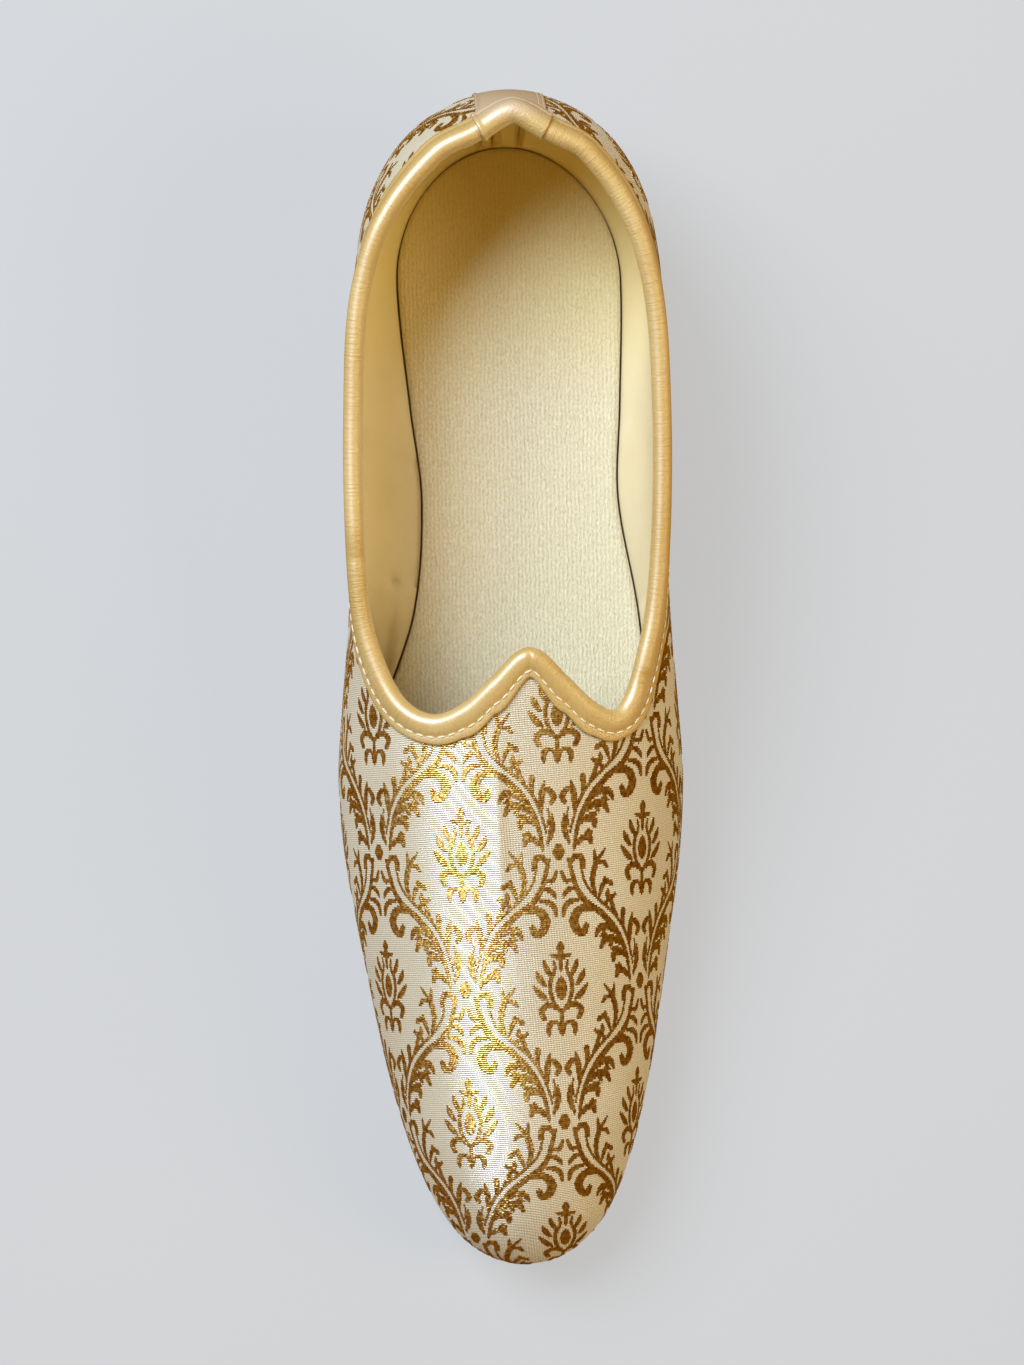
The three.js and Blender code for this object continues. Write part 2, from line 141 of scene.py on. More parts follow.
def curve_through(knots, values):
    """Smooth curve through the rows of a table: cubic pieces with slopes from the neighbouring rows."""
    knots = np.asarray(knots, float)
    values = np.asarray(values, float)
    slopes = np.empty_like(values)
    slopes[1:-1] = (values[2:] - values[:-2]) / (knots[2:] - knots[:-2])
    slopes[0] = (values[1] - values[0]) / (knots[1] - knots[0])
    slopes[-1] = (values[-1] - values[-2]) / (knots[-1] - knots[-2])

    def at(x):
        x = np.asarray(x, float)
        i = np.clip(np.searchsorted(knots, x, side="right") - 1, 0, len(knots) - 2)
        width = knots[i + 1] - knots[i]
        t = np.clip((x - knots[i]) / width, 0, 1)
        return (
            values[i] * (2 * t**3 - 3 * t**2 + 1)
            + slopes[i] * width * (t**3 - 2 * t**2 + t)
            + values[i + 1] * (3 * t**2 - 2 * t**3)
            + slopes[i + 1] * width * (t**3 - t**2)
        )

    return at


def run_length(line):
    return np.concatenate([[0], np.cumsum(np.linalg.norm(np.diff(line, axis=0), axis=1))])


def smooth_line(points, steps):
    """Even steps along a smooth line through a few points of a plane."""
    points = np.array(points, float)
    knots = run_length(points)
    at = np.linspace(0, knots[-1], steps)
    return np.stack([curve_through(knots, points[:, k])(at) for k in (0, 1)], -1)


girth, belly, outer_seat, inner_seat, seat, ridge, fullness = (
    curve_through(SECTIONS[:, 0], SECTIONS[:, k]) for k in range(1, 8)
)
footbed_outer, footbed_inner = (curve_through(FOOTBED[:, 0], FOOTBED[:, k]) for k in (1, 2))


def smoothstep(x, low, high):
    t = np.clip((x - low) / (high - low), 0, 1)
    return t * t * (3 - 2 * t)


def mix(a, b, share):
    return a + (b - a) * share


def bump(x, middle, width):
    """Soft hill of height 1."""
    return np.exp(-(((x - middle) / width) ** 2))


def centre(along):
    return -SWING * np.sin(math.pi * along / LENGTH)


def place(x, along, z):
    x, along, z = np.broadcast_arrays(x, along, z)
    return np.stack([x, LENGTH / 2 - along, z], -1)


HEEL_ARC = HEEL_ROUND * math.pi / 2
TOE_ARC = TOE_ROUND * math.pi / 2
SIDE = LENGTH - HEEL_ROUND - TOE_ROUND
AROUND = HEEL_ARC + SIDE + TOE_ARC


def footing(rib):
    """Distance along and roundness of the outline, a share rib of the way from heel to toe."""
    way = rib * AROUND
    heel = way / HEEL_ROUND
    toe = (AROUND - way) / TOE_ROUND
    at_heel = way < HEEL_ARC
    at_toe = way > HEEL_ARC + SIDE
    along = np.where(at_heel, HEEL_ROUND * (1 - np.cos(heel)), HEEL_ROUND + way - HEEL_ARC)
    along = np.where(at_toe, LENGTH - TOE_ROUND * (1 - np.cos(toe)), along)
    roundness = np.where(at_heel, np.sin(heel), np.where(at_toe, np.sin(toe), 1.0))
    return along, roundness


def toe_round(along, length):
    left = np.clip(LENGTH - along, 0, length)
    return np.sqrt(1 - (1 - left / length) ** 2)


def side_of(turn):
    wrapped = np.mod(turn, 2)
    return np.where(wrapped <= 1, wrapped, 2 - wrapped), np.where(wrapped <= 1, 1.0, -1.0)


def collar_loop():
    outer = [(rib, x, along, z) for rib, along, x, _, z in COLLAR]
    inner = [(2 - rib, -x, along, z) for rib, along, _, x, z in COLLAR[1:-1]]
    once = outer + inner[::-1]
    before = [(turn - 2, *rest) for turn, *rest in once[-2:]]
    after = [(turn + 2, *rest) for turn, *rest in once[:3]]
    rows = np.array(before + once + after, float)
    return [curve_through(rows[:, 0], rows[:, k]) for k in (1, 2, 3)]


collar_x, collar_along, collar_height = collar_loop()


def arch(along):
    """The vamp's section: height of its widest line, rise of its crown, half-width and fullness."""
    low = belly(along)
    crown = (ridge(along) - low) * toe_round(along, TOE_RISE)
    half = np.maximum(girth(along) * toe_round(along, TOE_ROUND), TINY)
    return low, crown, half, fullness(along)


def vamp_height(x, along):
    low, crown, half, power = arch(along)
    share = np.minimum(np.abs(x - centre(along)) / half, 1)
    return low + crown * (1 - share**power) ** (1 / power)


def outer_face(turn, rise):
    """Points of the upper's outer face.

    turn runs from the back seam by the outer side to the toe at 1, and back by the inner side to 2.
    rise is 0 at the sole, BELLY_RISE at the widest line and 1 at the edge."""
    turn, rise = np.broadcast_arrays(np.asarray(turn, float), np.asarray(rise, float))
    rib, side = side_of(turn)
    along, roundness = footing(rib)
    belly_x = centre(along) + side * girth(along) * roundness
    belly_z = belly(along)

    foot_along = HEEL_TUCK + along * (LENGTH - HEEL_TUCK - TOE_TUCK) / LENGTH
    foot_x = side * np.where(side > 0, outer_seat(along), inner_seat(along)) * roundness
    part = np.clip(rise / BELLY_RISE, 0, 1)
    out = np.sin(part * math.pi / 2)
    up = (part + 1 - np.cos(part * math.pi / 2)) / 2
    lower = place(
        mix(foot_x, belly_x, out),
        mix(foot_along, along, out),
        mix(seat(foot_along) + GAP, belly_z, up),
    )

    part = np.clip((rise - BELLY_RISE) / (1 - BELLY_RISE), 0, 1)
    wrapped = np.mod(turn, 2)
    top_x, top_along, top_z = collar_x(wrapped), collar_along(wrapped), collar_height(wrapped)
    lean = part**2
    quarter = place(
        mix(belly_x, top_x, lean), mix(along, top_along, lean), mix(belly_z, top_z, part)
    )
    inward = part ** fullness(along)
    vamp_x = mix(belly_x, top_x, inward)
    vamp_along = mix(along, top_along, inward)
    vamp = place(vamp_x, vamp_along, vamp_height(vamp_x, vamp_along))
    upper = mix(quarter, vamp, smoothstep(rib, QUARTER_ENDS, VAMP_BEGINS)[..., None])
    return np.where((rise <= BELLY_RISE)[..., None], lower, upper)


def unit(v):
    return v / np.maximum(np.linalg.norm(v, axis=-1, keepdims=True), TINY)


def outward(turn, rise):
    around = outer_face(turn + NEAR, rise) - outer_face(turn - NEAR, rise)
    up = outer_face(turn, np.minimum(rise + NEAR, 1)) - outer_face(turn, np.maximum(rise - NEAR, 0))
    return unit(np.cross(up, around))


def lifted(turn, rise, lift):
    turn, rise, lift = np.broadcast_arrays(*(np.asarray(v, float) for v in (turn, rise, lift)))
    return outer_face(turn, rise) + outward(turn, rise) * lift[..., None]


def at_edge(turn, depth, lift):
    """Places near the top edge: depth down the wall from its edge, lift out from the wall's face."""
    turn, depth, lift = np.broadcast_arrays(*(np.asarray(v, float) for v in (turn, depth, lift)))
    edge = outer_face(turn, 1.0)
    along = unit(outer_face(turn + NEAR, 1.0) - outer_face(turn - NEAR, 1.0))
    rib = edge - outer_face(turn, 1 - NEAR)
    per_rise = np.linalg.norm(rib, axis=-1) / NEAR
    rib = unit(rib)
    slant = np.linalg.norm(np.cross(rib, along), axis=-1)
    below = lifted(turn, 1 - np.maximum(depth, 0) / (per_rise * slant), lift)
    normal = outward(turn, 1.0)
    off = unit(np.cross(along, normal))
    off = np.where((off * rib).sum(-1, keepdims=True) < 0, -off, off)
    above = edge - off * depth[..., None] + normal * lift[..., None]
    return np.where((depth > 0)[..., None], below, above)


HEEL_PINCH = 0.8
PINCH_REACH = 0.05
PINCH_CURVE = 1.4


def pinched(turn, points):
    """Draws the binding to a blunt point at the back seam."""
    turn = np.broadcast_to(turn, points.shape[:-1])
    away = np.abs(np.mod(turn + 1, 2) - 1) / PINCH_REACH
    points = points.copy()
    points[..., 1] += HEEL_PINCH * np.clip(1 - away, 0, 1) ** PINCH_CURVE
    return points


def frame_shift():
    """The solids' origin lies under the middle of the whole box. Found from the widest line of the upper."""
    own = outer_face(np.linspace(0, 2, 2001), BELLY_RISE)
    low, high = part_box("upper")
    middle = (own.min(0) + own.max(0)) / 2
    return np.array([(low.x + high.x) / 2, (low.y + high.y) / 2, 0]) - middle * MM * np.array([1, 1, 0])


ORIGIN = frame_shift()


# Pieces

# Points closer than this, in metres, become one
WELD = 2e-6


def select_only(piece):
    bpy.ops.object.select_all(action="DESELECT")
    piece.select_set(True)
    bpy.context.view_layer.objects.active = piece


def set_uv(piece, uv_of_vertex):
    mesh = piece.data
    layer = mesh.uv_layers[0] if mesh.uv_layers else mesh.uv_layers.new(name="UVMap")
    corner = np.empty(len(mesh.loops), np.int32)
    mesh.loops.foreach_get("vertex_index", corner)
    layer.data.foreach_set("uv", uv_of_vertex[corner].astype(np.float32).ravel())


def sheet_piece(name, places, uv=None, flip=False):
    """A grid primitive whose points are moved to places (rows, columns, 3), in millimetres."""
    rows, columns = places.shape[:2]
    bpy.ops.object.select_all(action="DESELECT")
    bpy.ops.mesh.primitive_grid_add(x_subdivisions=columns - 1, y_subdivisions=rows - 1, size=1)
    piece = bpy.context.object
    piece.name = piece.data.name = name
    piece.data.vertices.foreach_set("co", (places * MM + ORIGIN).astype(np.float32).ravel())
    if uv is not None:
        set_uv(piece, uv.reshape(-1, 2) / UV_UNIT)
    bpy.ops.object.mode_set(mode="EDIT")
    bpy.ops.mesh.select_all(action="SELECT")
    bpy.ops.mesh.remove_doubles(threshold=WELD)
    if flip:
        bpy.ops.mesh.flip_normals()
    bpy.ops.object.mode_set(mode="OBJECT")
    bpy.ops.object.shade_smooth()
    return piece


def thicken(piece, thickness):
    """Gives a sheet its thickness, behind its face."""
    select_only(piece)
    wall = piece.modifiers.new("wall", "SOLIDIFY")
    wall.thickness = thickness * MM
    wall.offset = -1
    wall.use_even_offset = False
    bpy.ops.object.modifier_apply(modifier=wall.name)


def mesh_from_arrays(name, points, faces):
    """A joined mesh of many small things. points are in metres, faces are all of one size."""
    mesh = bpy.data.meshes.new(name)
    count, corners = faces.shape
    mesh.vertices.add(len(points))
    mesh.vertices.foreach_set("co", points.astype(np.float32).ravel())
    mesh.loops.add(count * corners)
    mesh.loops.foreach_set("vertex_index", faces.astype(np.int32).ravel())
    mesh.polygons.add(count)
    mesh.polygons.foreach_set("loop_start", np.arange(0, count * corners, corners, dtype=np.int32))
    mesh.update(calc_edges=True)
    mesh.validate()
    piece = bpy.data.objects.new(name, mesh)
    bpy.context.scene.collection.objects.link(piece)
    select_only(piece)
    bpy.ops.object.shade_smooth()
    return piece


def finish_piece(piece, material, slot, *nodes):
    piece.data.materials.clear()
    piece.data.materials.append(material)
    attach(piece, "root")
    if nodes:
        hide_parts(*nodes)


# Cloth places: where a point of the upper lies on the flat brocade, in millimetres

ARC_STEPS = np.linspace(0, math.pi / 2, 241)
# Ribs between which the places change from lengths round the heel to lengths along the side,
# and from the quarter's to the vamp's
SIDE_CLOTH = (0.14, 0.3)
VAMP_CLOTH = (0.3, 0.56)
# Where the half-width of the cloth is measured, along the shoe
MIDDLE = 145.0


def section_arc(x, along):
    """Signed length over the arched section, from the middle of the vamp to a place."""
    _, crown, half, power = arch(along)
    share = np.clip(np.abs(x - centre(along)) / half, 0, 1)
    total = np.empty_like(share)
    for i in np.ndindex(share.shape):
        e = 2 / power[i]
        xs = np.sin(ARC_STEPS) ** e
        lengths = np.hypot(np.diff(xs) * half[i], np.diff(np.cos(ARC_STEPS) ** e) * crown[i])
        total[i] = np.interp(share[i], xs, np.concatenate([[0], np.cumsum(lengths)]))
    return total * np.sign(x - centre(along))


def ridge_length(along):
    """Length over the vamp's ridge, which runs down at the toe."""
    stations = np.linspace(0, LENGTH, 2901)
    low, crown, _, _ = arch(stations)
    drop = np.where(stations > LENGTH - TOE_RISE, np.gradient(low + crown, stations), 0)
    steps = np.diff(stations)
    length = np.concatenate([[0], np.cumsum(np.hypot(steps, drop[1:] * steps))])
    return np.interp(along, stations, length)


def cloth_places(turns, rises):
    """(U, V) for a grid of rises and turns: U across from the vamp's middle, V from the heel to the toe."""
    turn, rise = np.meshgrid(turns, rises)
    points = outer_face(turn, rise)
    steps = np.linalg.norm(np.diff(points, axis=0), axis=-1)
    run = np.concatenate([np.zeros((1, len(turns))), np.cumsum(steps, axis=0)])
    above = run - run[np.argmin(np.abs(rises - BELLY_RISE))]

    rib, _ = side_of(turn)
    side = np.where(turn <= 1, 1.0, -1.0)
    way = rib * AROUND
    along = LENGTH / 2 - points[..., 1]
    on_side, roundness = footing(rib)

    edge = np.array([centre(MIDDLE) + girth(MIDDLE)])
    half = float(section_arc(edge, np.array([MIDDLE]))[0])
    quarter_u = side * (half - above)
    quarter_v = mix(way - HEEL_ARC + HEEL_ROUND, along, smoothstep(rib, *SIDE_CLOTH))

    above_belly = rise > BELLY_RISE
    x = np.where(above_belly, points[..., 0], centre(on_side) + side * girth(on_side) * roundness)
    s = np.where(above_belly, along, on_side)
    angle = np.clip((AROUND - way) / TOE_ROUND, 0, math.pi / 2)
    down = np.maximum(-above, 0)
    vamp_u = section_arc(x, s) + side * np.sin(angle) * down
    vamp_v = ridge_length(s) + np.cos(angle) * down

    share = smoothstep(rib, *VAMP_CLOTH)
    return np.stack([mix(quarter_u, vamp_u, share), mix(quarter_v, vamp_v, share)], -1)


# The chart of the brocade. A stroke is a smooth line through (across, up) places in millimetres,
# with its half-widths at start, middle and end. "up" points to the heel.
MEDALLION = [
    ([(0, -2.8), (0, 2.6)], (0.3, 1.45, 0.3)),
    ([(0, -5.8), (-1.9, -3.5), (-2.8, -0.3), (-2.5, 2.4), (-1.5, 4.6), (-1.7, 6.8)], (0.35, 0.55, 0.3)),
    ([(0, 4.4), (0, 8.6)], (0.35, 0.55, 0.5)),
    ([(0, 8.6), (0, 11.4)], (0.4, 0.95, 0.15)),
    ([(0, 7.6), (-1.3, 7.9), (-2.5, 8.3)], (0.5, 0.6, 0.35)),
    ([(-2.7, 3.2), (-3.6, 5.0), (-4.3, 7.0)], (0.3, 0.75, 0.15)),
    ([(-3.9, 0.6), (-5.2, 2.4), (-6.1, 4.4)], (0.3, 0.8, 0.15)),
    ([(-3.5, -3.0), (-5.2, -1.4), (-6.8, 0.7)], (0.3, 0.85, 0.15)),
    ([(-0.2, -5.6), (-2.2, -4.5), (-3.9, -4.4), (-5.1, -5.8), (-4.4, -7.4)], (0.4, 0.75, 0.65)),
    ([(0, -5.8), (0, -8.4)], (0.4, 0.5, 0.5)),
    ([(0, -8.2), (0, -11.8)], (0.5, 0.95, 0.2)),
    ([(-0.6, -8.9), (-2.3, -8.5), (-3.3, -9.7), (-3.3, -11.3)], (0.4, 0.75, 0.5)),
]
STEMS = [
    ([(3.9, 0.6), (4.3, 3.6), (5.2, 7.2), (7.4, 11.8), (10.2, 15.6), (13.3, 18.5), (16.6, 20.9),
      (18.9, 24.0), (20.2, 28.0), (21.0, 31.6)], (0.4, 0.8, 0.45)),
    ([(2.9, 4.6), (4.0, 8.8), (5.7, 13.2), (8.4, 16.9), (11.3, 19.6), (14.6, 22.6), (16.9, 25.6),
      (18.0, 30.0)], (0.28, 0.4, 0.28)),
    ([(13.6, 18.9), (16.4, 19.6), (18.9, 18.7), (20.0, 16.4), (19.0, 14.0), (17.4, 13.6), (16.8, 15.0)],
     (0.5, 1.15, 0.8)),
]
CURLS_BELOW = [
    ([(4.5, 1.6), (6.3, 3.3), (7.8, 3.2), (8.3, 1.8)], (0.3, 0.85, 0.5)),
    ([(6.6, 3.6), (7.4, 4.7), (8.6, 4.5)], (0.3, 0.55, 0.3)),
    ([(5.6, 6.8), (7.4, 8.1), (9.0, 7.6), (9.2, 5.9)], (0.3, 0.9, 0.5)),
    ([(7.6, 8.3), (8.6, 9.2), (9.8, 8.8)], (0.3, 0.5, 0.25)),
    ([(7.2, 9.8), (9.4, 11.5), (11.8, 11.2), (12.8, 9.3)], (0.3, 0.9, 0.45)),
    ([(9.6, 11.0), (10.3, 9.6)], (0.4, 0.6, 0.35)),
    ([(10.6, 11.7), (11.8, 12.6), (13.0, 12.1)], (0.3, 0.5, 0.25)),
    ([(8.9, 12.9), (11.3, 14.8), (13.2, 14.3), (14.2, 12.4)], (0.3, 0.85, 0.4)),
    ([(11.6, 14.4), (12.1, 13.0)], (0.4, 0.55, 0.35)),
    ([(18.6, 21.6), (20.7, 21.2), (22.2, 20.0), (22.6, 18.0)], (0.4, 0.75, 0.4)),
    ([(19.5, 24.6), (21.1, 24.2), (22.5, 22.6)], (0.35, 0.7, 0.4)),
    ([(20.3, 26.4), (21.8, 26.4), (23.0, 28.8)], (0.3, 0.6, 0.3)),
]
LEAVES_ABOVE = [
    ([(2.7, 2.0), (1.6, 5.4), (1.5, 9.0)], (0.3, 0.75, 0.3)),
    ([(2.7, 6.2), (2.2, 8.6), (2.5, 10.8)], (0.2, 0.35, 0.2)),
    ([(4.1, 10.0), (4.0, 13.6), (3.2, 17.3)], (0.4, 0.8, 0.3)),
    ([(3.5, 15.9), (1.9, 15.0), (1.0, 13.4), (1.7, 12.1)], (0.35, 0.75, 0.5)),
    ([(5.7, 12.8), (6.4, 15.4), (6.2, 18.2)], (0.3, 0.55, 0.75)),
    ([(8.0, 17.2), (9.2, 19.0), (9.8, 20.8)], (0.3, 0.6, 0.4)),
    ([(11.6, 20.2), (10.4, 21.3), (8.8, 22.3)], (0.3, 0.65, 0.5)),
    ([(10.4, 21.3), (10.9, 22.5), (10.7, 23.6)], (0.3, 0.6, 0.35)),
    ([(13.2, 21.8), (12.6, 23.9), (11.4, 25.7), (9.8, 25.2)], (0.3, 0.65, 0.65)),
    ([(12.0, 25.0), (11.5, 26.8)], (0.35, 0.55, 0.3)),
    ([(14.0, 22.4), (14.9, 25.4), (14.6, 28.6), (13.4, 31.2), (11.5, 33.7)], (0.35, 0.75, 0.2)),
    ([(14.2, 29.6), (14.4, 33.6)], (0.3, 0.5, 0.2)),
    ([(13.8, 30.2), (12.0, 30.5), (10.9, 29.2)], (0.3, 0.65, 0.35)),
    ([(17.2, 29.4), (17.9, 31.9), (19.2, 32.4), (20.4, 31.0)], (0.4, 0.85, 0.4)),
]
KNOT = [([(0, -1.8), (0, 1.8)], (0.1, 1.4, 0.1))]
STROKE_STEP = 0.1


def stroke_samples(points, widths):
    """Close points along a stroke, with the half-width at each."""
    length = run_length(np.array(points, float))[-1]
    line = smooth_line(points, max(3, int(length / STROKE_STEP)))
    t = np.linspace(0, 1, len(line))
    start, middle, end = widths
    half = start * (1 - t) * (1 - 2 * t) + 4 * middle * t * (1 - t) + end * t * (2 * t - 1)
    return line, half


def woven_runs(strokes):
    """Rows of gilt weft (up, from, to) that draw the strokes and their mirror image."""
    cells = {}
    for points, widths in strokes:
        line, half = stroke_samples(points, widths)
        for side in (1, -1):
            for (x, y), h in zip(line * (side, 1), half):
                for row in range(math.floor((y - h) / PICK), math.ceil((y + h) / PICK) + 1):
                    off = (row + 0.5) * PICK - y
                    if abs(off) > h:
                        continue
                    reach = math.sqrt(h * h - off * off)
                    first = round((x - reach) / WARP)
                    last = max(round((x + reach) / WARP), first + 1)
                    cells.setdefault(row, set()).update(range(first, last))
    runs = []
    for row in sorted(cells):
        columns = sorted(cells[row])
        start = columns[0]
        for a, b in zip(columns, columns[1:] + [None]):
            if b != a + 1:
                runs.append(((row + 0.5) * PICK, start * WARP, (a + 1) * WARP))
                start = b
    return np.array(runs)


FLOAT_LENGTH = 1.0
FLOAT_FOOT = 0.02
# Half-width and height of a float at its start, middle and end
FLOAT_FORM = ((0.25, 0.13), (0.27, 0.2), (0.25, 0.13))
# The most that a float's crest leans to one side, and that its ends differ in height
FLOAT_LEAN = 0.1
FLOAT_TILT = 0.06
FLOAT_SEED = 11
# The least and the most that a float is drawn out where it lies on the upper, and what is let pass
FLOAT_STRETCH = (0.3, 2.0)
FLOAT_SLACK = 0.2
FLOAT_CREASE = math.radians(68)


def cloth_finder(cloth, points, normals):
    """Finds places of the flat cloth on the upper: whether they lie on it, their points and normals."""
    rows, columns = cloth.shape[:2]
    index = np.arange(rows * columns).reshape(rows, columns)
    a, b, c, d = index[:-1, :-1], index[:-1, 1:], index[1:, 1:], index[1:, :-1]
    triangles = np.concatenate([
        np.stack([a, b, c], -1).reshape(-1, 3), np.stack([a, c, d], -1).reshape(-1, 3)
    ])
    flat = cloth.reshape(-1, 2)
    tree = BVHTree.FromPolygons([(u, v, 0.0) for u, v in flat.tolist()], triangles.tolist())
    straight_down = Vector((0, 0, -1))

    def find(u, v):
        hits = (tree.ray_cast(Vector((x, y, 1.0)), straight_down)[2] for x, y in zip(u, v))
        found = np.array([-1 if hit is None else hit for hit in hits])
        corner = triangles[np.maximum(found, 0)]
        p, q, r = flat[corner[:, 0]], flat[corner[:, 1]], flat[corner[:, 2]]
        at = np.stack([u, v], -1)
        whole = np.cross(q - p, r - p)
        whole = np.where(np.abs(whole) < TINY, TINY, whole)
        wq = np.cross(at - p, r - p) / whole
        wr = np.cross(q - p, at - p) / whole
        weights = np.stack([1 - wq - wr, wq, wr], -1)[..., None]
        spot = (points.reshape(-1, 3)[corner] * weights).sum(1)
        normal = unit((normals.reshape(-1, 3)[corner] * weights).sum(1))
        return found >= 0, spot, normal

    return find


def gilt_threads(name, runs, cells, cloth, find):
    """Short closed ridges of gilt weft, laid on the upper where the runs of each cell fall."""
    pieces = []
    for v, u0, u1 in runs:
        count = max(1, math.ceil((u1 - u0) / FLOAT_LENGTH))
        edges = np.linspace(u0, u1, count + 1)
        pieces.extend((v, a, b) for a, b in zip(edges[:-1], edges[1:]))
    pieces = np.array(pieces)
    segments = np.concatenate([
        np.stack([u + pieces[:, 1], u + pieces[:, 2], v - pieces[:, 0]], -1) for u, v in cells
    ])
    low, high = cloth.min((0, 1)), cloth.max((0, 1))
    segments = segments[
        (segments[:, 2] > low[1]) & (segments[:, 2] < high[1])
        & (segments[:, 0] > low[0]) & (segments[:, 1] < high[0])
    ]
    ok0, p0, n0 = find(segments[:, 0], segments[:, 2])
    ok1, p1, n1 = find(segments[:, 1], segments[:, 2])
    length = np.linalg.norm(p1 - p0, axis=1)
    wanted = segments[:, 1] - segments[:, 0]
    least, most = FLOAT_STRETCH
    keep = ok0 & ok1 & (length < most * wanted + FLOAT_SLACK) & (length > least * wanted)
    p0, n0, p1, n1 = p0[keep], n0[keep], p1[keep], n1[keep]
    across = unit(np.cross(unit(n0 + n1), p1 - p0))
    seeded = np.random.default_rng(FLOAT_SEED)
    lean = seeded.uniform(-FLOAT_LEAN, FLOAT_LEAN, (len(p0), 1))
    tilt = seeded.uniform(-FLOAT_TILT, FLOAT_TILT, (len(p0), 1))
    corners = []
    for share, (half, crest) in zip((0.0, 0.5, 1.0), FLOAT_FORM):
        middle, up = mix(p0, p1, share), unit(mix(n0, n1, share))
        corners += [
            middle - across * half + up * FLOAT_FOOT,
            middle + across * lean + up * (crest + tilt * (1 - 2 * share)),
            middle + across * half + up * FLOAT_FOOT,
        ]
    verts = np.stack(corners, 1)
    size = len(corners)
    shape = [(0, 1, 2), (size - 3, size - 1, size - 2)]
    for ring in range(0, size - 3, 3):
        for k in range(3):
            a, b = ring + k, ring + (k + 1) % 3
            shape += [(a, b + 3, b), (a, a + 3, b + 3)]
    faces = (np.arange(len(verts)) * size)[:, None, None] + np.array(shape)[None]
    floats = mesh_from_arrays(name, verts.reshape(-1, 3) * MM + ORIGIN, faces.reshape(-1, 3))
    bpy.ops.object.shade_smooth_by_angle(angle=FLOAT_CREASE)
    return floats


# Tones of the finishes: deep and pale, or one alone

IVORY_GROUND = (0.66, 0.585, 0.415), (0.715, 0.665, 0.51)
# painted shade in the pinholes and the furrows between threads
PAINTED_SHADE_BETWEEN_THREADS = (0.15, 0.09, 0.025)
SATIN_TINT = (0.8, 0.92, 1.0)
GILT = (0.38, 0.19, 0.025), (0.80, 0.60, 0.22)
GILT_CLOUD = (0.53, 0.33, 0.06)
PEARL_BINDING = (0.47, 0.31, 0.09), (0.54, 0.39, 0.15)
PEARL_STRIP = (0.47, 0.33, 0.11), (0.54, 0.40, 0.16)
STRIP_BACK = (0.52, 0.40, 0.25)
CREAM_LINING = (0.59, 0.485, 0.275), (0.65, 0.57, 0.365)
# painted light: a lighter gold for the lining at the heel, which lies in shade
LINING_HEEL_PAINTED_LIGHT = (0.80, 0.66, 0.27)
CREAM_FELT = (0.54, 0.465, 0.275), (0.77, 0.72, 0.54)
FELT_WORN = (0.60, 0.53, 0.34)
# painted shade: a deeper gold for the felt at the heel
FELT_HEEL_PAINTED_SHADE = (0.70, 0.53, 0.12)
IVORY_THREAD = (0.60, 0.52, 0.35), (0.76, 0.71, 0.57)
TAN_THREAD = (0.42, 0.31, 0.18), (0.58, 0.46, 0.30)
TAN_SOLE = (0.36, 0.23, 0.11), (0.47, 0.32, 0.17)
PALE_FLOOR = (0.105, 0.105, 0.105), (0.12, 0.12, 0.12)
FLOOR_GLOW = (0.63, 0.655, 0.685)

# Threads of the ground, in millimetres, and how far the cloth is turned on the vamp
GROUND_WARP = 0.66
GROUND_WEFT = 0.52
CLOTH_SLANT = math.radians(4)
# Where the strip turns from the binding's tone to its own, in metres behind the middle
STRIP_TURNS = (0.133, 0.1365)
# Where the lining and the felt turn golden towards the heel: painted light on the lining, painted shade on
# the felt
HEEL_PAINTED_LIGHT_AND_SHADE_TURNS = (0.07, 0.125)
FELT_PAINTED_SHADE_SHARE = 0.6
BINDING_CREASES = 1.3


# Materials

class Nodes:
    """Short hand for one node tree. Colours are given without alpha."""

    def __init__(self, tree):
        self.tree = tree

    def add(self, kind, inputs=None, **settings):
        node = self.tree.nodes.new(kind)
        for key, value in settings.items():
            setattr(node, key, value)
        for key, value in (inputs or {}).items():
            self.feed(node.inputs[key], value)
        return node

    def feed(self, socket, value):
        if isinstance(value, bpy.types.NodeSocket):
            self.tree.links.new(value, socket)
        else:
            socket.default_value = (*value, 1) if socket.type == "RGBA" else value

    def math(self, operation, a, b=0.0, c=0.0):
        return self.add("ShaderNodeMath", {0: a, 1: b, 2: c}, operation=operation).outputs[0]

    def total(self, *pairs):
        """Sum of values, each with its weight."""
        so_far = 0.0
        for value, weight in pairs:
            so_far = self.math("MULTIPLY_ADD", value, weight, so_far)
        return so_far

    def blend(self, factor, a, b):
        return self.add("ShaderNodeMix", {0: factor, 6: a, 7: b}, data_type="RGBA").outputs[2]

    def noise(self, vector, scale, detail=3.0, roughness=0.55):
        inputs = {"Vector": vector, "Scale": scale, "Detail": detail, "Roughness": roughness}
        return self.add("ShaderNodeTexNoise", inputs).outputs[0]

    def ramp(self, value, *stops):
        node = self.add("ShaderNodeValToRGB", {0: value})
        ramp = node.color_ramp
        while len(ramp.elements) < len(stops):
            ramp.elements.new(0.5)
        for element, (position, colour) in zip(ramp.elements, stops):
            element.position = position
            element.color = (*colour, 1)
        return node.outputs[0]

    def tones(self, value, tones, low=0.3, high=0.7):
        return self.ramp(value, (low, tones[0]), (high, tones[1]))

    def shades(self, value, *stops):
        return self.ramp(value, *((position, (grey, grey, grey)) for position, grey in stops))

    def effect(self, tree, inputs):
        """A shared effect with this material's own values."""
        return self.add("ShaderNodeGroup", inputs, node_tree=tree).outputs


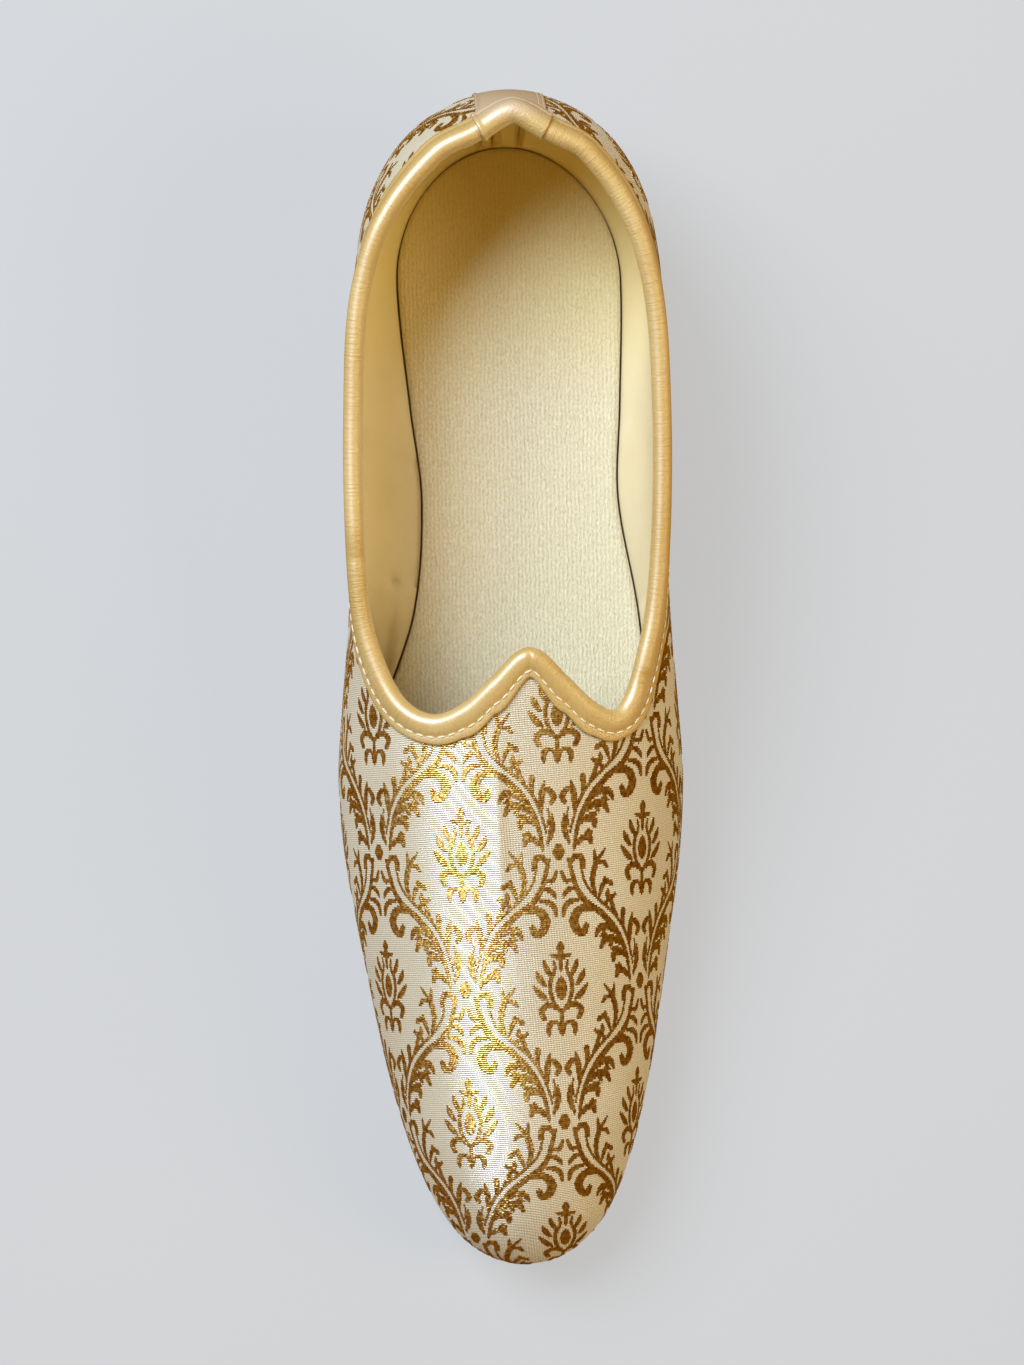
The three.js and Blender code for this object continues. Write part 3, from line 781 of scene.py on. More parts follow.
class Finish(Nodes):
    """A material: its nodes, its shader and the place on the piece."""

    def __init__(self, name):
        self.material = bpy.data.materials.new(name)
        self.material.use_nodes = True
        super().__init__(self.material.node_tree)
        self.shader = self.tree.nodes["Principled BSDF"]
        self.where = self.add("ShaderNodeTexCoord").outputs["Object"]

    def set(self, **values):
        for key, value in values.items():
            self.feed(self.shader.inputs[key.replace("_", " ")], value)

    def relief(self, height, distance, strength):
        inputs = {"Height": height, "Distance": distance, "Strength": strength}
        self.set(Normal=self.add("ShaderNodeBump", inputs).outputs[0])

    def along_axis(self, axis):
        return self.add("ShaderNodeSeparateXYZ", {0: self.where}).outputs[axis]

    def towards_heel(self, begins, full):
        """Rises from 0 to 1 along the shoe, between two places in metres behind the middle."""
        return self.add("ShaderNodeMapRange", {0: self.along_axis(1), 1: begins, 2: full}).outputs[0]

    def flat_map(self, turn=0.0, scale=(1.0, 1.0, 1.0)):
        """The piece's own flat map in millimetres, turned and scaled."""
        uv = self.add("ShaderNodeUVMap", uv_map="UVMap").outputs[0]
        inputs = {0: uv, 1: (UV_UNIT, UV_UNIT, UV_UNIT)}
        flat = self.add("ShaderNodeVectorMath", inputs, operation="MULTIPLY").outputs[0]
        return self.add("ShaderNodeMapping", {0: flat, 2: (0, 0, turn), 3: scale}).outputs[0]


def group(name, inputs, outputs):
    """An empty shared effect: its tree, nodes, given sockets and sockets to feed."""
    tree = bpy.data.node_groups.new(name, "ShaderNodeTree")
    for label in inputs:
        kind = "NodeSocketVector" if label in ("Map", "Place") else "NodeSocketFloat"
        tree.interface.new_socket(label, in_out="INPUT", socket_type=kind)
    for label in outputs:
        tree.interface.new_socket(label, in_out="OUTPUT", socket_type="NodeSocketFloat")
    nodes = Nodes(tree)
    return tree, nodes, nodes.add("NodeGroupInput").outputs, nodes.add("NodeGroupOutput").inputs


def thread_group():
    """Crossing threads on a flat map in millimetres: height, gaps, and furrows between picks."""
    tree, nodes, given, out = group(
        "crossing_threads", ("Map", "Warp", "Weft"), ("Height", "Gaps", "Furrows")
    )
    parts = nodes.add("ShaderNodeSeparateXYZ", {0: given["Map"]}).outputs
    wander = nodes.math("MULTIPLY", nodes.noise(given["Map"], 0.35, 2.0), 0.14)
    waves = []
    for axis, pitch in ((0, "Warp"), (1, "Weft")):
        turns = nodes.math("DIVIDE", nodes.math("ADD", parts[axis], wander), given[pitch])
        wave = nodes.math("SINE", nodes.math("MULTIPLY", turns, 2 * math.pi))
        waves.append(nodes.math("MULTIPLY_ADD", wave, 0.5, 0.5))
    warp, weft = waves
    nodes.feed(out["Height"], nodes.math("MAXIMUM", nodes.math("MULTIPLY", warp, 0.6), weft))
    furrows = nodes.math("SUBTRACT", 1.0, weft)
    nodes.feed(out["Furrows"], furrows)
    nodes.feed(out["Gaps"], nodes.math("MULTIPLY", nodes.math("SUBTRACT", 1.0, warp), furrows))
    return tree


def grain_group():
    """Fine leather grain: height and a mask of slow colour change."""
    tree, nodes, given, out = group("leather_grain", ("Place", "Scale"), ("Height", "Cloud"))
    cells = nodes.add("ShaderNodeTexVoronoi", {"Vector": given["Place"], "Scale": given["Scale"]})
    fine = nodes.noise(given["Place"], 2600.0, 2.0)
    nodes.feed(out["Height"], nodes.total((fine, 0.6), (cells.outputs[0], 0.4)))
    nodes.feed(out["Cloud"], nodes.noise(given["Place"], 38.0, 4.0))
    return tree


THREADS = thread_group()
GRAIN = grain_group()


def brocade_ground():
    """Ivory tissue: satin picks over a fine warp, drawn open to pinholes over the crown of the vamp. The
    pinholes and the furrows between picks are darkened with painted shade.
    """
    cloth = Finish("ivory_tissue")
    threads = cloth.effect(
        THREADS, {"Map": cloth.flat_map(CLOTH_SLANT), "Warp": GROUND_WARP, "Weft": GROUND_WEFT}
    )
    ground = cloth.tones(cloth.noise(cloth.where, 24.0, 4.0), IVORY_GROUND)
    across = cloth.math("MULTIPLY_ADD", cloth.along_axis(0), 25.0, 0.5)
    # Painted shade in the pinholes: strongest over the crown of the vamp and right of it, faintest on the
    # left, where the light falls full on the cloth
    drawn = cloth.shades(across, (0.2, 0.2), (0.5, 1.0), (0.85, 0.6))
    patchy = cloth.shades(cloth.noise(cloth.where, 34.0, 2.0), (0.35, 0.35), (0.62, 1.0))
    pinhole_shade_across = cloth.math("MULTIPLY", drawn, patchy)
    gaps = cloth.math("MULTIPLY", cloth.math("POWER", threads["Gaps"], 1.3), pinhole_shade_across)
    # Painted shade in the furrows between picks; deep holds the painted shade of furrows and pinholes
    furrows = cloth.math("MULTIPLY", cloth.math("POWER", threads["Furrows"], 2.0), 0.16)
    deep = cloth.math("MAXIMUM", gaps, furrows)
    cloth.relief(threads["Height"], 0.00016, 0.9)
    cloth.set(
        Base_Color=cloth.blend(deep, ground, PAINTED_SHADE_BETWEEN_THREADS), Roughness=0.34,
        IOR=2.2, Specular_IOR_Level=1.0, Specular_Tint=SATIN_TINT,
        Sheen_Weight=0.15, Sheen_Roughness=0.4,
    )
    return cloth.material


def gilt_thread():
    thread = Finish("gilt_thread")
    tone = thread.noise(thread.where, 1100.0, 2.0)
    light = thread.tones(tone, GILT, 0.35, 0.65)
    deeper = thread.math("MULTIPLY", thread.noise(thread.where, 45.0), 0.4)
    thread.set(
        Base_Color=thread.blend(deeper, light, GILT_CLOUD),
        Roughness=thread.math("MULTIPLY_ADD", tone, 0.18, 0.31),
        Metallic=1.0, Coat_Weight=0.25, Coat_Roughness=0.3,
    )
    return thread.material


def leatherette(name, tones, creases=0.0, back=None):
    """Pearly coated leatherette.

    creases adds fine folds across the roll, and back is the tone at the back of the heel."""
    skin = Finish(name)
    grain = skin.effect(GRAIN, {"Place": skin.where, "Scale": 1700.0})
    tone = skin.tones(grain["Cloud"], tones, 0.32, 0.68)
    if back:
        tone = skin.blend(skin.towards_heel(*STRIP_TURNS), tone, back)
    height = grain["Height"]
    if creases:
        folds = skin.noise(skin.flat_map(scale=(1.7, 0.2, 1.0)), 1.0, 3.0, 0.6)
        height = skin.total((height, 0.4), (folds, creases))
    skin.relief(height, 0.0004, 0.7)
    skin.set(
        Base_Color=tone, Roughness=skin.math("MULTIPLY_ADD", grain["Cloud"], 0.2, 0.45),
        Metallic=0.1, Coat_Weight=1.0, Coat_Roughness=0.4, Coat_IOR=1.9,
    )
    return skin.material


def lining_skin():
    skin = Finish("cream_lining")
    grain = skin.effect(GRAIN, {"Place": skin.where, "Scale": 1300.0})
    # The lining turns a lighter gold towards the heel: painted light where the heel lies in shade
    tone = skin.blend(skin.towards_heel(*HEEL_PAINTED_LIGHT_AND_SHADE_TURNS), skin.tones(grain["Cloud"], CREAM_LINING), LINING_HEEL_PAINTED_LIGHT)
    skin.relief(grain["Height"], 0.00015, 0.4)
    skin.set(Base_Color=tone, Roughness=0.5, Specular_IOR_Level=0.3, Sheen_Weight=0.1)
    return skin.material


def felt():
    """Cream felt with its nap brushed along the foot, over faint ribs."""
    pile = Finish("ribbed_felt")
    across = pile.total((pile.along_axis(0), 1000.0), (pile.noise(pile.where, 240.0), 1.4))
    rib = pile.math("SINE", pile.math("MULTIPLY", across, 2 * math.pi / FELT_RIB))
    rib = pile.math("MULTIPLY_ADD", rib, 0.5, 0.5)
    stretched = pile.add("ShaderNodeMapping", {0: pile.where, 3: (1.0, 0.42, 1.0)}).outputs[0]
    nap = pile.noise(stretched, 2900.0, 2.0, 0.6)
    tone = pile.tones(pile.total((rib, 0.12), (nap, 0.88)), CREAM_FELT, 0.3, 0.66)
    worn = pile.math("MULTIPLY", pile.noise(pile.where, 30.0, 4.0), 0.3)
    tone = pile.blend(worn, tone, FELT_WORN)
    # Painted shade: the felt turns a deeper gold towards the heel, where the walls shade it
    painted_heel_shade = pile.math("MULTIPLY", pile.towards_heel(*HEEL_PAINTED_LIGHT_AND_SHADE_TURNS), FELT_PAINTED_SHADE_SHARE)
    pile.relief(pile.total((rib, 0.25), (nap, 1.0)), 0.0004, 0.7)
    pile.set(
        Base_Color=pile.blend(painted_heel_shade, tone, FELT_HEEL_PAINTED_SHADE), Roughness=0.95,
        Sheen_Weight=0.3, Sheen_Roughness=0.6,
    )
    return pile.material


def sewing_thread(name, tones):
    thread = Finish(name)
    strands = thread.noise(thread.where, 3000.0, 2.0)
    thread.relief(strands, 0.0001, 0.5)
    thread.set(Base_Color=thread.tones(strands, tones), Roughness=0.6)
    return thread.material


def sole_rubber():
    rubber = Finish("tan_sole")
    grain = rubber.effect(GRAIN, {"Place": rubber.where, "Scale": 700.0})
    rubber.relief(grain["Height"], 0.0003, 0.6)
    rubber.set(Base_Color=rubber.tones(grain["Cloud"], TAN_SOLE), Roughness=0.62)
    return rubber.material


def pale_floor():
    surface = Finish("pale_floor")
    tone = surface.tones(surface.noise(surface.where, 3.0, 2.0), PALE_FLOOR)
    surface.set(Base_Color=tone, Roughness=0.9, Emission_Color=FLOOR_GLOW, Emission_Strength=0.74)
    return surface.material


# Making the pieces

# Thickness of the brocade and of the lining
UPPER_HALF = 1.0
LOWER_ROWS = np.linspace(0, BELLY_RISE, 13)
UPPER_ROWS = np.linspace(BELLY_RISE, 1, 57)[1:]
RISES = np.concatenate([LOWER_ROWS, UPPER_ROWS])
TURNS = np.linspace(0, 2, 481)
# Columns and rows of the repeat that reach over the whole upper
PATTERN_CELLS = range(-4, 4)

# Soft ridges of the vamp: x and along of both ends, half-width, height
VAMP_FOLDS = [
    (-7.0, 156, -5.4, 206, 1.7, 0.5),
    (27.0, 150, 33.5, 172, 2.4, 0.4),
    (-30.0, 152, -35.0, 176, 2.6, 0.35),
]
VAMP_FOLDS_FULL = 0.5
# Folds at the foot of the lining's inner side, in plan: along and distance from the middle of both ends,
# half-width, height
LINING_FOLDS = [
    (110, 28.2, 144, 33.8, 0.6, -2.3),
    (111, 26.6, 144, 30.8, 0.8, 1.9),
    (112, 30.2, 144, 35.6, 0.8, 1.7),
    (48, 35.0, 84, 24.8, 1.6, 1.1),
]


def fold_lift(a, b, folds):
    """Soft ridges and troughs between given ends, on a plane with coordinates a and b."""
    lift = np.zeros_like(a)
    for a0, b0, a1, b1, width, height in folds:
        length = math.hypot(a1 - a0, b1 - b0)
        ahead = ((a - a0) * (a1 - a0) + (b - b0) * (b1 - b0)) / length**2
        aside = ((a - a0) * (b1 - b0) - (b - b0) * (a1 - a0)) / length
        ends = smoothstep(ahead, 0, 0.3) * (1 - smoothstep(ahead, 0.7, 1))
        lift += height * ends * bump(aside, 0, width)
    return lift


def brocade_upper(material, gilt):
    """The brocade, and the gilt figure on it in three pieces."""
    turn, rise = np.meshgrid(TURNS, RISES)
    flat = outer_face(turn, rise)
    normals = outward(turn, rise)
    folds = fold_lift(flat[..., 0], LENGTH / 2 - flat[..., 1], VAMP_FOLDS)
    lift = folds * smoothstep(rise, BELLY_RISE, VAMP_FOLDS_FULL)
    points = flat + normals * lift[..., None]
    cloth = cloth_places(TURNS, RISES)
    upper = sheet_piece("brocade_upper", points, cloth, flip=True)
    thicken(upper, UPPER_HALF)
    finish_piece(upper, material, "brocade", "upper")

    knots = []
    for column in PATTERN_CELLS:
        for row in PATTERN_CELLS:
            dropped = REPEAT / 2 if column % 2 else 0
            knots.append((FIRST_COLUMN + column * COLUMN, FIRST_KNOT + row * REPEAT + dropped))
    hearts = [(u, v - REPEAT / 2) for u, v in knots]
    heart_runs = woven_runs(MEDALLION)
    vine_runs = woven_runs(STEMS + CURLS_BELOW + LEAVES_ABOVE + KNOT)
    find = cloth_finder(cloth, points, normals)
    for name, runs, cells in (
        ("gilt_medallions", heart_runs, hearts),
        ("gilt_vines_outer", vine_runs, [cell for cell in knots if cell[0] > 0]),
        ("gilt_vines_inner", vine_runs, [cell for cell in knots if cell[0] <= 0]),
    ):
        finish_piece(gilt_threads(name, runs, cells, cloth, find), gilt, "gold_thread")


def end_round(along, low, high):
    def quarter(share):
        return np.sqrt(1 - (1 - np.clip(share, 0, 1)) ** 2)

    return quarter((along - low) / HEEL_ROUND) * quarter((high - along) / TOE_ROUND)


def crowded(low, high, count):
    """Stations that lie closer towards both ends."""
    share = np.linspace(0, 1, count)
    return low + (high - low) * (0.7 * (1 - np.cos(math.pi * share)) / 2 + 0.3 * share)


def bed_outline():
    """The footbed's edge in plan, once round."""
    along = crowded(FOOTBED_HEEL, FOOTBED_TOE, 400)
    ends = end_round(along, FOOTBED_HEEL, FOOTBED_TOE)
    outer = np.stack([footbed_outer(along) * ends, LENGTH / 2 - along], -1)
    inner = np.stack([-footbed_inner(along) * ends, LENGTH / 2 - along], -1)
    return np.concatenate([outer, inner[::-1]])


# Room between the lining and the footbed, at the heel and along the sides, and where it changes
HEEL_ROOM = 0.15
SIDE_ROOM = 0.5
ROOM_CHANGES = (18, 50)
# Height over which the lining's foot closes in on the footbed
COVE = 11.0
# Pleats of the lining at the back seam: their x, and how deep they are drawn
PLEATS = (-7.2, -3.1, 4.2)
PLEAT_DEPTH = 0.6
# The pads between them: swell, width of the round edge, height of the foot, reach round the heel,
# and the depths under the edge between which they begin
PAD_SWELL = 2.3
PAD_ROUND = 2.2
PAD_FOOT = 3.0
PAD_REACH = 0.075
PAD_BEGINS = (2, 6)
# Turns beside the back seam that have closer columns, for the pleats
PLEATED_TURNS = np.linspace(0, 0.06, 49)[1:]


def lining_piece(material):
    """Lining on the inner face of the wall.

    Its foot closes in on the footbed, and it is pleated at the heel."""
    turns = np.unique(np.concatenate([TURNS, PLEATED_TURNS, 2 - PLEATED_TURNS]))
    turn, rise = np.meshgrid(turns, RISES)
    wall = lifted(turn, rise, -WALL)
    x, along, z = wall[..., 0], LENGTH / 2 - wall[..., 1], wall[..., 2]
    outline = bed_outline()
    nearest = outline[np.stack([
        ((row[:, None, :2] - outline[None]) ** 2).sum(-1).argmin(1) for row in wall
    ])]
    to_bed = nearest - wall[..., :2]
    away = np.linalg.norm(to_bed, axis=-1)
    above = z - (seat(along) + GAP + FOOTBED_THICK - FOOTBED_EDGE)
    level = np.argmin(np.abs(above[: len(LOWER_ROWS)]), axis=0)
    at_top = away[level, np.arange(len(turns))]
    room = mix(HEEL_ROOM, SIDE_ROOM, smoothstep(along, *ROOM_CHANGES))
    closing = np.maximum(np.where(above < 0, away, at_top) - room, 0)
    closing = closing * (1 - smoothstep(above, 0, COVE))
    cove = to_bed / away[..., None] * closing[..., None]

    back = bump(np.minimum(turn, 2 - turn), 0, PAD_REACH)
    down = np.linalg.norm(wall - wall[-1], axis=-1)
    below_roll = smoothstep(down, *PAD_BEGINS) * smoothstep(above, 0, PAD_FOOT)
    aside = np.abs(x[..., None] - np.array(PLEATS)).min(-1)
    dome = np.sin(math.pi / 2 * np.minimum(aside / PAD_ROUND, 1))
    inward = back * below_roll * mix(-PLEAT_DEPTH, PAD_SWELL, dome)
    points = wall - outward(turn, rise) * inward[..., None]
    points[..., :2] += cove
    points[..., 2] += np.where(turn > 1, fold_lift(along, -points[..., 0], LINING_FOLDS), 0)
    lining = sheet_piece("lining", points)
    thicken(lining, UPPER_HALF)
    finish_piece(lining, material, "lining")


# Half the binding's section from its lip to the crown: depth down the wall, lift from the wall's face
BINDING_OUTSIDE = [
    (4.8, 0.32), (4.95, 0.6), (4.75, 0.86), (4.1, 0.9), (3.45, 0.86), (3.05, 0.68), (2.7, 0.82), (2.2, 1.04),
    (1.4, 1.2), (0.4, 1.24), (-0.6, 1.08), (-1.4, 0.55), (-1.9, -0.2), (-2.1, -1.1),
]
BINDING_INSIDE = [
    (-1.9, -2.0), (-1.4, -2.75), (-0.6, -3.28), (0.4, -3.42), (1.4, -3.38), (2.2, -3.2), (3.0, -3.1),
    (4.0, -3.08), (4.3, -2.9), (4.2, -2.52),
]
BINDING_CHANNEL = [(2.0, -2.52), (-0.28, -2.52), (-0.28, 0.32), (2.4, 0.32)]
BINDING_STEPS = 42
BINDING_TURNS = 640
# Depth and lift of the roll's crown, along which its flat map is measured
BINDING_CROWN = (-2.0, -1.1)
# Places where the roll is drawn in: turn, half-width in turns, depth
ROLL_DENTS = [(0.52, 0.009, 0.6), (0.536, 0.006, 0.35), (1.0, 0.006, 0.35)]


def topline_binding(material):
    section = np.concatenate([
        smooth_line(BINDING_OUTSIDE + BINDING_INSIDE, BINDING_STEPS),
        np.array(BINDING_CHANNEL),
        [BINDING_OUTSIDE[0]],
    ])
    turns = np.linspace(0, 2, BINDING_TURNS + 1)
    turn, depth = np.meshgrid(turns, section[:, 0])
    lift = np.broadcast_to(section[:, 1][:, None], turn.shape)
    dent = sum(deep * bump(turn, middle, width) for middle, width, deep in ROLL_DENTS)
    toward_wall = np.clip(np.abs(lift + WALL / 2) - WALL / 2 - GAP, 0, 1) * np.sign(lift + WALL / 2)
    points = pinched(turn, at_edge(turn, depth, lift - dent * toward_wall))
    crown = at_edge(turns, *BINDING_CROWN)
    uv = np.stack(np.meshgrid(run_length(crown), run_length(section)), -1)
    binding = sheet_piece("topline_binding_roll", points, uv, flip=True)
    finish_piece(binding, material, "gold_leatherette", "topline_binding")


STITCH_LENGTH = 1.9
STITCH_PITCH = 2.7
STITCH_HALF = 0.23
# Roundness of a stitch's ends
STITCH_BLUNT = 0.6
# Depth below the edge, lift from the wall's face, which way is out, and the turn where the row begins
STITCH_ROWS = [(3.05, 0.88, 1.0, 0.34), (3.3, -3.12, -1.0, 0.04)]


def stitch_row(line, above, pitch, length):
    """Start, end and upward direction of each stitch along a line of close points."""
    run = run_length(line)
    count = int(run[-1] / pitch)

    def along(values, offset, further=0.0):
        at = (np.arange(count) + offset) * run[-1] / count + further
        return np.stack([np.interp(at, run, values[:, k]) for k in range(3)], -1)

    return along(line, 0.2), along(line, 0.2, length), unit(along(above - line, 0.5))


def stitches(name, rows, half_width, material):
    """One rounded stitch, modelled once and laid along the rows."""
    bpy.ops.object.select_all(action="DESELECT")
    bpy.ops.mesh.primitive_uv_sphere_add(segments=8, ring_count=6, radius=1)
    pattern = bpy.context.object
    bpy.ops.object.mode_set(mode="EDIT")
    bpy.ops.mesh.quads_convert_to_tris()
    bpy.ops.object.mode_set(mode="OBJECT")
    model = np.array([vertex.co for vertex in pattern.data.vertices])
    triangles = np.array([face.vertices for face in pattern.data.polygons])
    bpy.data.objects.remove(pattern)
    starts, ends, ups = (np.concatenate(parts) for parts in zip(*rows))
    forward = (ends - starts) / 2
    ahead = unit(forward)
    side = unit(np.cross(ups, ahead))
    up = np.cross(ahead, side)
    blunt = np.sign(model[:, 2]) * np.abs(model[:, 2]) ** STITCH_BLUNT
    points = (
        (starts + ends)[:, None] / 2
        + forward[:, None] * blunt[None, :, None]
        + side[:, None] * half_width * model[None, :, 0:1]
        + up[:, None] * half_width * model[None, :, 1:2]
    )
    index = (np.arange(len(starts)) * len(model))[:, None, None] + triangles[None]
    piece = mesh_from_arrays(name, points.reshape(-1, 3) * MM + ORIGIN, index.reshape(-1, 3))
    finish_piece(piece, material, "stitching")


def binding_stitches(material):
    """The row that holds the binding, as it shows on the outside and on the lining side."""
    rows = []
    for depth, lift, away, first_turn in STITCH_ROWS:
        turns = np.linspace(first_turn, 2 - first_turn, 4001)
        line, above = at_edge(turns, depth, lift), at_edge(turns, depth, lift + away)
        rows.append(stitch_row(line, above, STITCH_PITCH, STITCH_LENGTH))
    stitches("topline_stitches", rows, STITCH_HALF, material)


# Lift of the strip's face and its thickness, columns across its width, rows up the wall and over the roll
STRIP_LIFT = 0.44
STRIP_SHEET = 0.34
STRIP_SHARES = np.linspace(-1, 1, 49)
STRIP_WALL_ROWS = 60
STRIP_OVER_ROWS = 60
# The edge that is folded under: height, place and half-width as shares of the strip's half-width
STRIP_FOLD = 0.4
STRIP_FOLD_AT = -0.95
STRIP_FOLD_HALF = 0.05
# Rows of stitches: distances from the other edge, pitch, length and half-width of the thread
STRIP_ROWS = (0.5, 1.7)
STRIP_PITCH = 1.6
STRIP_STITCH = 0.9
STRIP_THREAD = 0.12


def strip_turns(rise, shares):
    """Turns across the strip's width at a height of the back seam."""
    per_turn = np.linalg.norm(outer_face(NEAR, rise) - outer_face(-NEAR, rise)) / (2 * NEAR)
    return STRIP_WIDTH / 2 / per_turn * shares


def strip_rows(shares, lift):
    """Rows of the back strip, from its foot over the binding to its end inside the shoe."""
    per_rise = np.linalg.norm(outer_face(0.0, 1.0) - outer_face(0.0, 1 - NEAR)) / NEAR
    last = 1 - (BINDING_OUTSIDE[0][0] + STRIP_RAMP) / per_rise
    rises = np.linspace(STRIP_FOOT, last, STRIP_WALL_ROWS)
    rows = [lifted(strip_turns(rise, shares), rise, lift) for rise in rises]
    over = smooth_line(BINDING_OUTSIDE[2:] + BINDING_INSIDE[:-1], STRIP_OVER_ROWS)
    slope = unit(np.gradient(over, axis=0))
    turns = strip_turns(1.0, shares)
    for (depth, out), (d_depth, d_out) in zip(over, slope):
        row = at_edge(turns, depth + d_out * lift, out - d_depth * lift)
        rows.append(pinched(turns, row))
    return np.array(rows)


def heel_strip(material, thread):
    """Back strip with one edge folded under and two rows of fine stitches along the other."""
    fold = STRIP_FOLD * bump(STRIP_SHARES, STRIP_FOLD_AT, STRIP_FOLD_HALF)
    strip = sheet_piece("heel_strip_band", strip_rows(STRIP_SHARES, STRIP_LIFT + fold), flip=True)
    thicken(strip, STRIP_SHEET)
    finish_piece(strip, material, "gold_leatherette", "heel_strip")
    rows = []
    for inset in STRIP_ROWS:
        share = np.array([1 - 2 * inset / STRIP_WIDTH])
        line, above = (
            strip_rows(share, np.array([lift]))[:STRIP_WALL_ROWS, 0] for lift in (STRIP_LIFT, STRIP_LIFT + 1)
        )
        rows.append(stitch_row(line, above, STRIP_PITCH, STRIP_STITCH))
    stitches("strip_stitches", rows, STRIP_THREAD, thread)


# Width of the footbed's rounded edge, and how far its first and last stations stand off its ends
FOOTBED_RIM = 1.6
FOOTBED_END = 0.05


def insole(material):
    along = crowded(FOOTBED_HEEL + FOOTBED_END, FOOTBED_TOE - FOOTBED_END, 181)
    across = np.sin(np.linspace(-1, 1, 61) * math.pi / 2)
    s, a = np.meshgrid(along, across, indexing="ij")
    half = np.where(a > 0, footbed_outer(s), footbed_inner(s)) * end_round(s, FOOTBED_HEEL, FOOTBED_TOE)
    inset = np.minimum(half * (1 - np.abs(a)), np.minimum(s - FOOTBED_HEEL, FOOTBED_TOE - s))
    rim = FOOTBED_EDGE * np.clip(1 - inset / FOOTBED_RIM, 0, 1) ** 2
    top = place(a * half, s, seat(s) + GAP + FOOTBED_THICK - rim)
    bed = sheet_piece("felt_insole", top, flip=True)
    thicken(bed, FOOTBED_THICK - FOOTBED_EDGE)
    finish_piece(bed, material, "footbed_felt", "insole")


# Shares of the sole's half-width that its top and its tread take up, and how far its wall is hollowed
SOLE_TOP = 0.985
SOLE_TREAD = 0.94
SOLE_ROUND = 0.9
SOLE_HOLLOW = 0.25
SOLE_CREASE = math.radians(40)
SOLE_END = 1e-5


def sole_columns(outer, inner, top, under):
    """Lines along the sole as (x, z): over its top, down the outer wall, under the tread and up again."""

    def across(share, width, height):
        return share * np.where(share > 0, outer, inner) * width, height

    columns = [across(share, SOLE_TOP, top) for share in np.linspace(-1, 1, 9)]
    for side, half in ((1, outer), (-1, inner)):
        wall = []
        for part in np.linspace(0, 1, 7):
            hollow = SOLE_HOLLOW * (1 - math.sin(math.pi * part))
            wall.append((side * (half - hollow), mix(top - SOLE_HOLLOW, under + SOLE_EDGE, part)))
        for angle in np.linspace(0, math.pi / 2, 5)[1:]:
            inset = SOLE_EDGE * (1 - math.cos(angle))
            edge = np.maximum(half - inset, half * SOLE_ROUND) - SOLE_HOLLOW
            wall.append((side * edge, under + SOLE_EDGE * (1 - math.sin(angle))))
        columns += wall[::side]
        if side > 0:
            columns += [across(share, SOLE_TREAD, under) for share in np.linspace(0.8, -0.8, 7)]
    return columns + columns[:1]


def outsole(material):
    low, high = HEEL_TUCK - SOLE_MARGIN, LENGTH - TOE_TUCK + SOLE_MARGIN
    along = np.sort(np.concatenate([crowded(low + SOLE_END, high - SOLE_END, 181), TREAD[1:-1, 0]]))
    on_last = (along - HEEL_TUCK) * LENGTH / (LENGTH - HEEL_TUCK - TOE_TUCK)
    ends = end_round(along, low, high)
    outer = (outer_seat(on_last) + SOLE_MARGIN) * ends
    inner = (inner_seat(on_last) + SOLE_MARGIN) * ends
    under = np.interp(along, TREAD[:, 0], TREAD[:, 1])
    columns = sole_columns(outer, inner, seat(along), under)
    sole = sheet_piece("moulded_sole", np.stack([place(x, along, z) for x, z in columns], 1))
    bpy.ops.object.mode_set(mode="EDIT")
    bpy.ops.mesh.select_all(action="DESELECT")
    bpy.ops.mesh.select_mode(type="EDGE")
    bpy.ops.mesh.select_non_manifold()
    bpy.ops.mesh.fill()
    bpy.ops.mesh.select_all(action="SELECT")
    bpy.ops.mesh.normals_make_consistent(inside=False)
    bpy.ops.object.mode_set(mode="OBJECT")
    select_only(sole)
    bpy.ops.object.shade_smooth_by_angle(angle=SOLE_CREASE)
    finish_piece(sole, material, "sole", "outsole")


# Floor, light and camera. The camera's places are in millimetres, the lights' in metres.

CAMERA_AT = (-37.0, 20.4, 850.0)
AIM_AT = (1.5, 0.4, 0.0)
ROLL = math.radians(1.24)
LENS = 88.0
FLOOR_SIZE = 60
LIGHTS_AIM = Vector((0, 0, 0.03))
# Name, place, size, power, colour, and the kind of ray that doesn't see the light
LIGHTS = [
    ("window_light", (-0.68, 0.62, 1.12), 0.86, 34.0, (0.82, 0.95, 1.1), None),
    ("warm_bounce", (1.0, -0.1, 0.72), 0.7, 11.0, (1.0, 0.82, 0.5), "visible_glossy"),
    ("ceiling_glow", (0.42, 0.1, 1.25), 1.0, 0.9, (1.0, 0.68, 0.22), "visible_diffuse"),
]
# The room's colour and strength as it lights the shoe, and as the camera sees it
AMBER_ROOM = {0: (1.0, 0.46, 0.02), 1: 0.25}
GREY_ROOM = {0: (0.6, 0.6, 0.6), 1: 1.0}


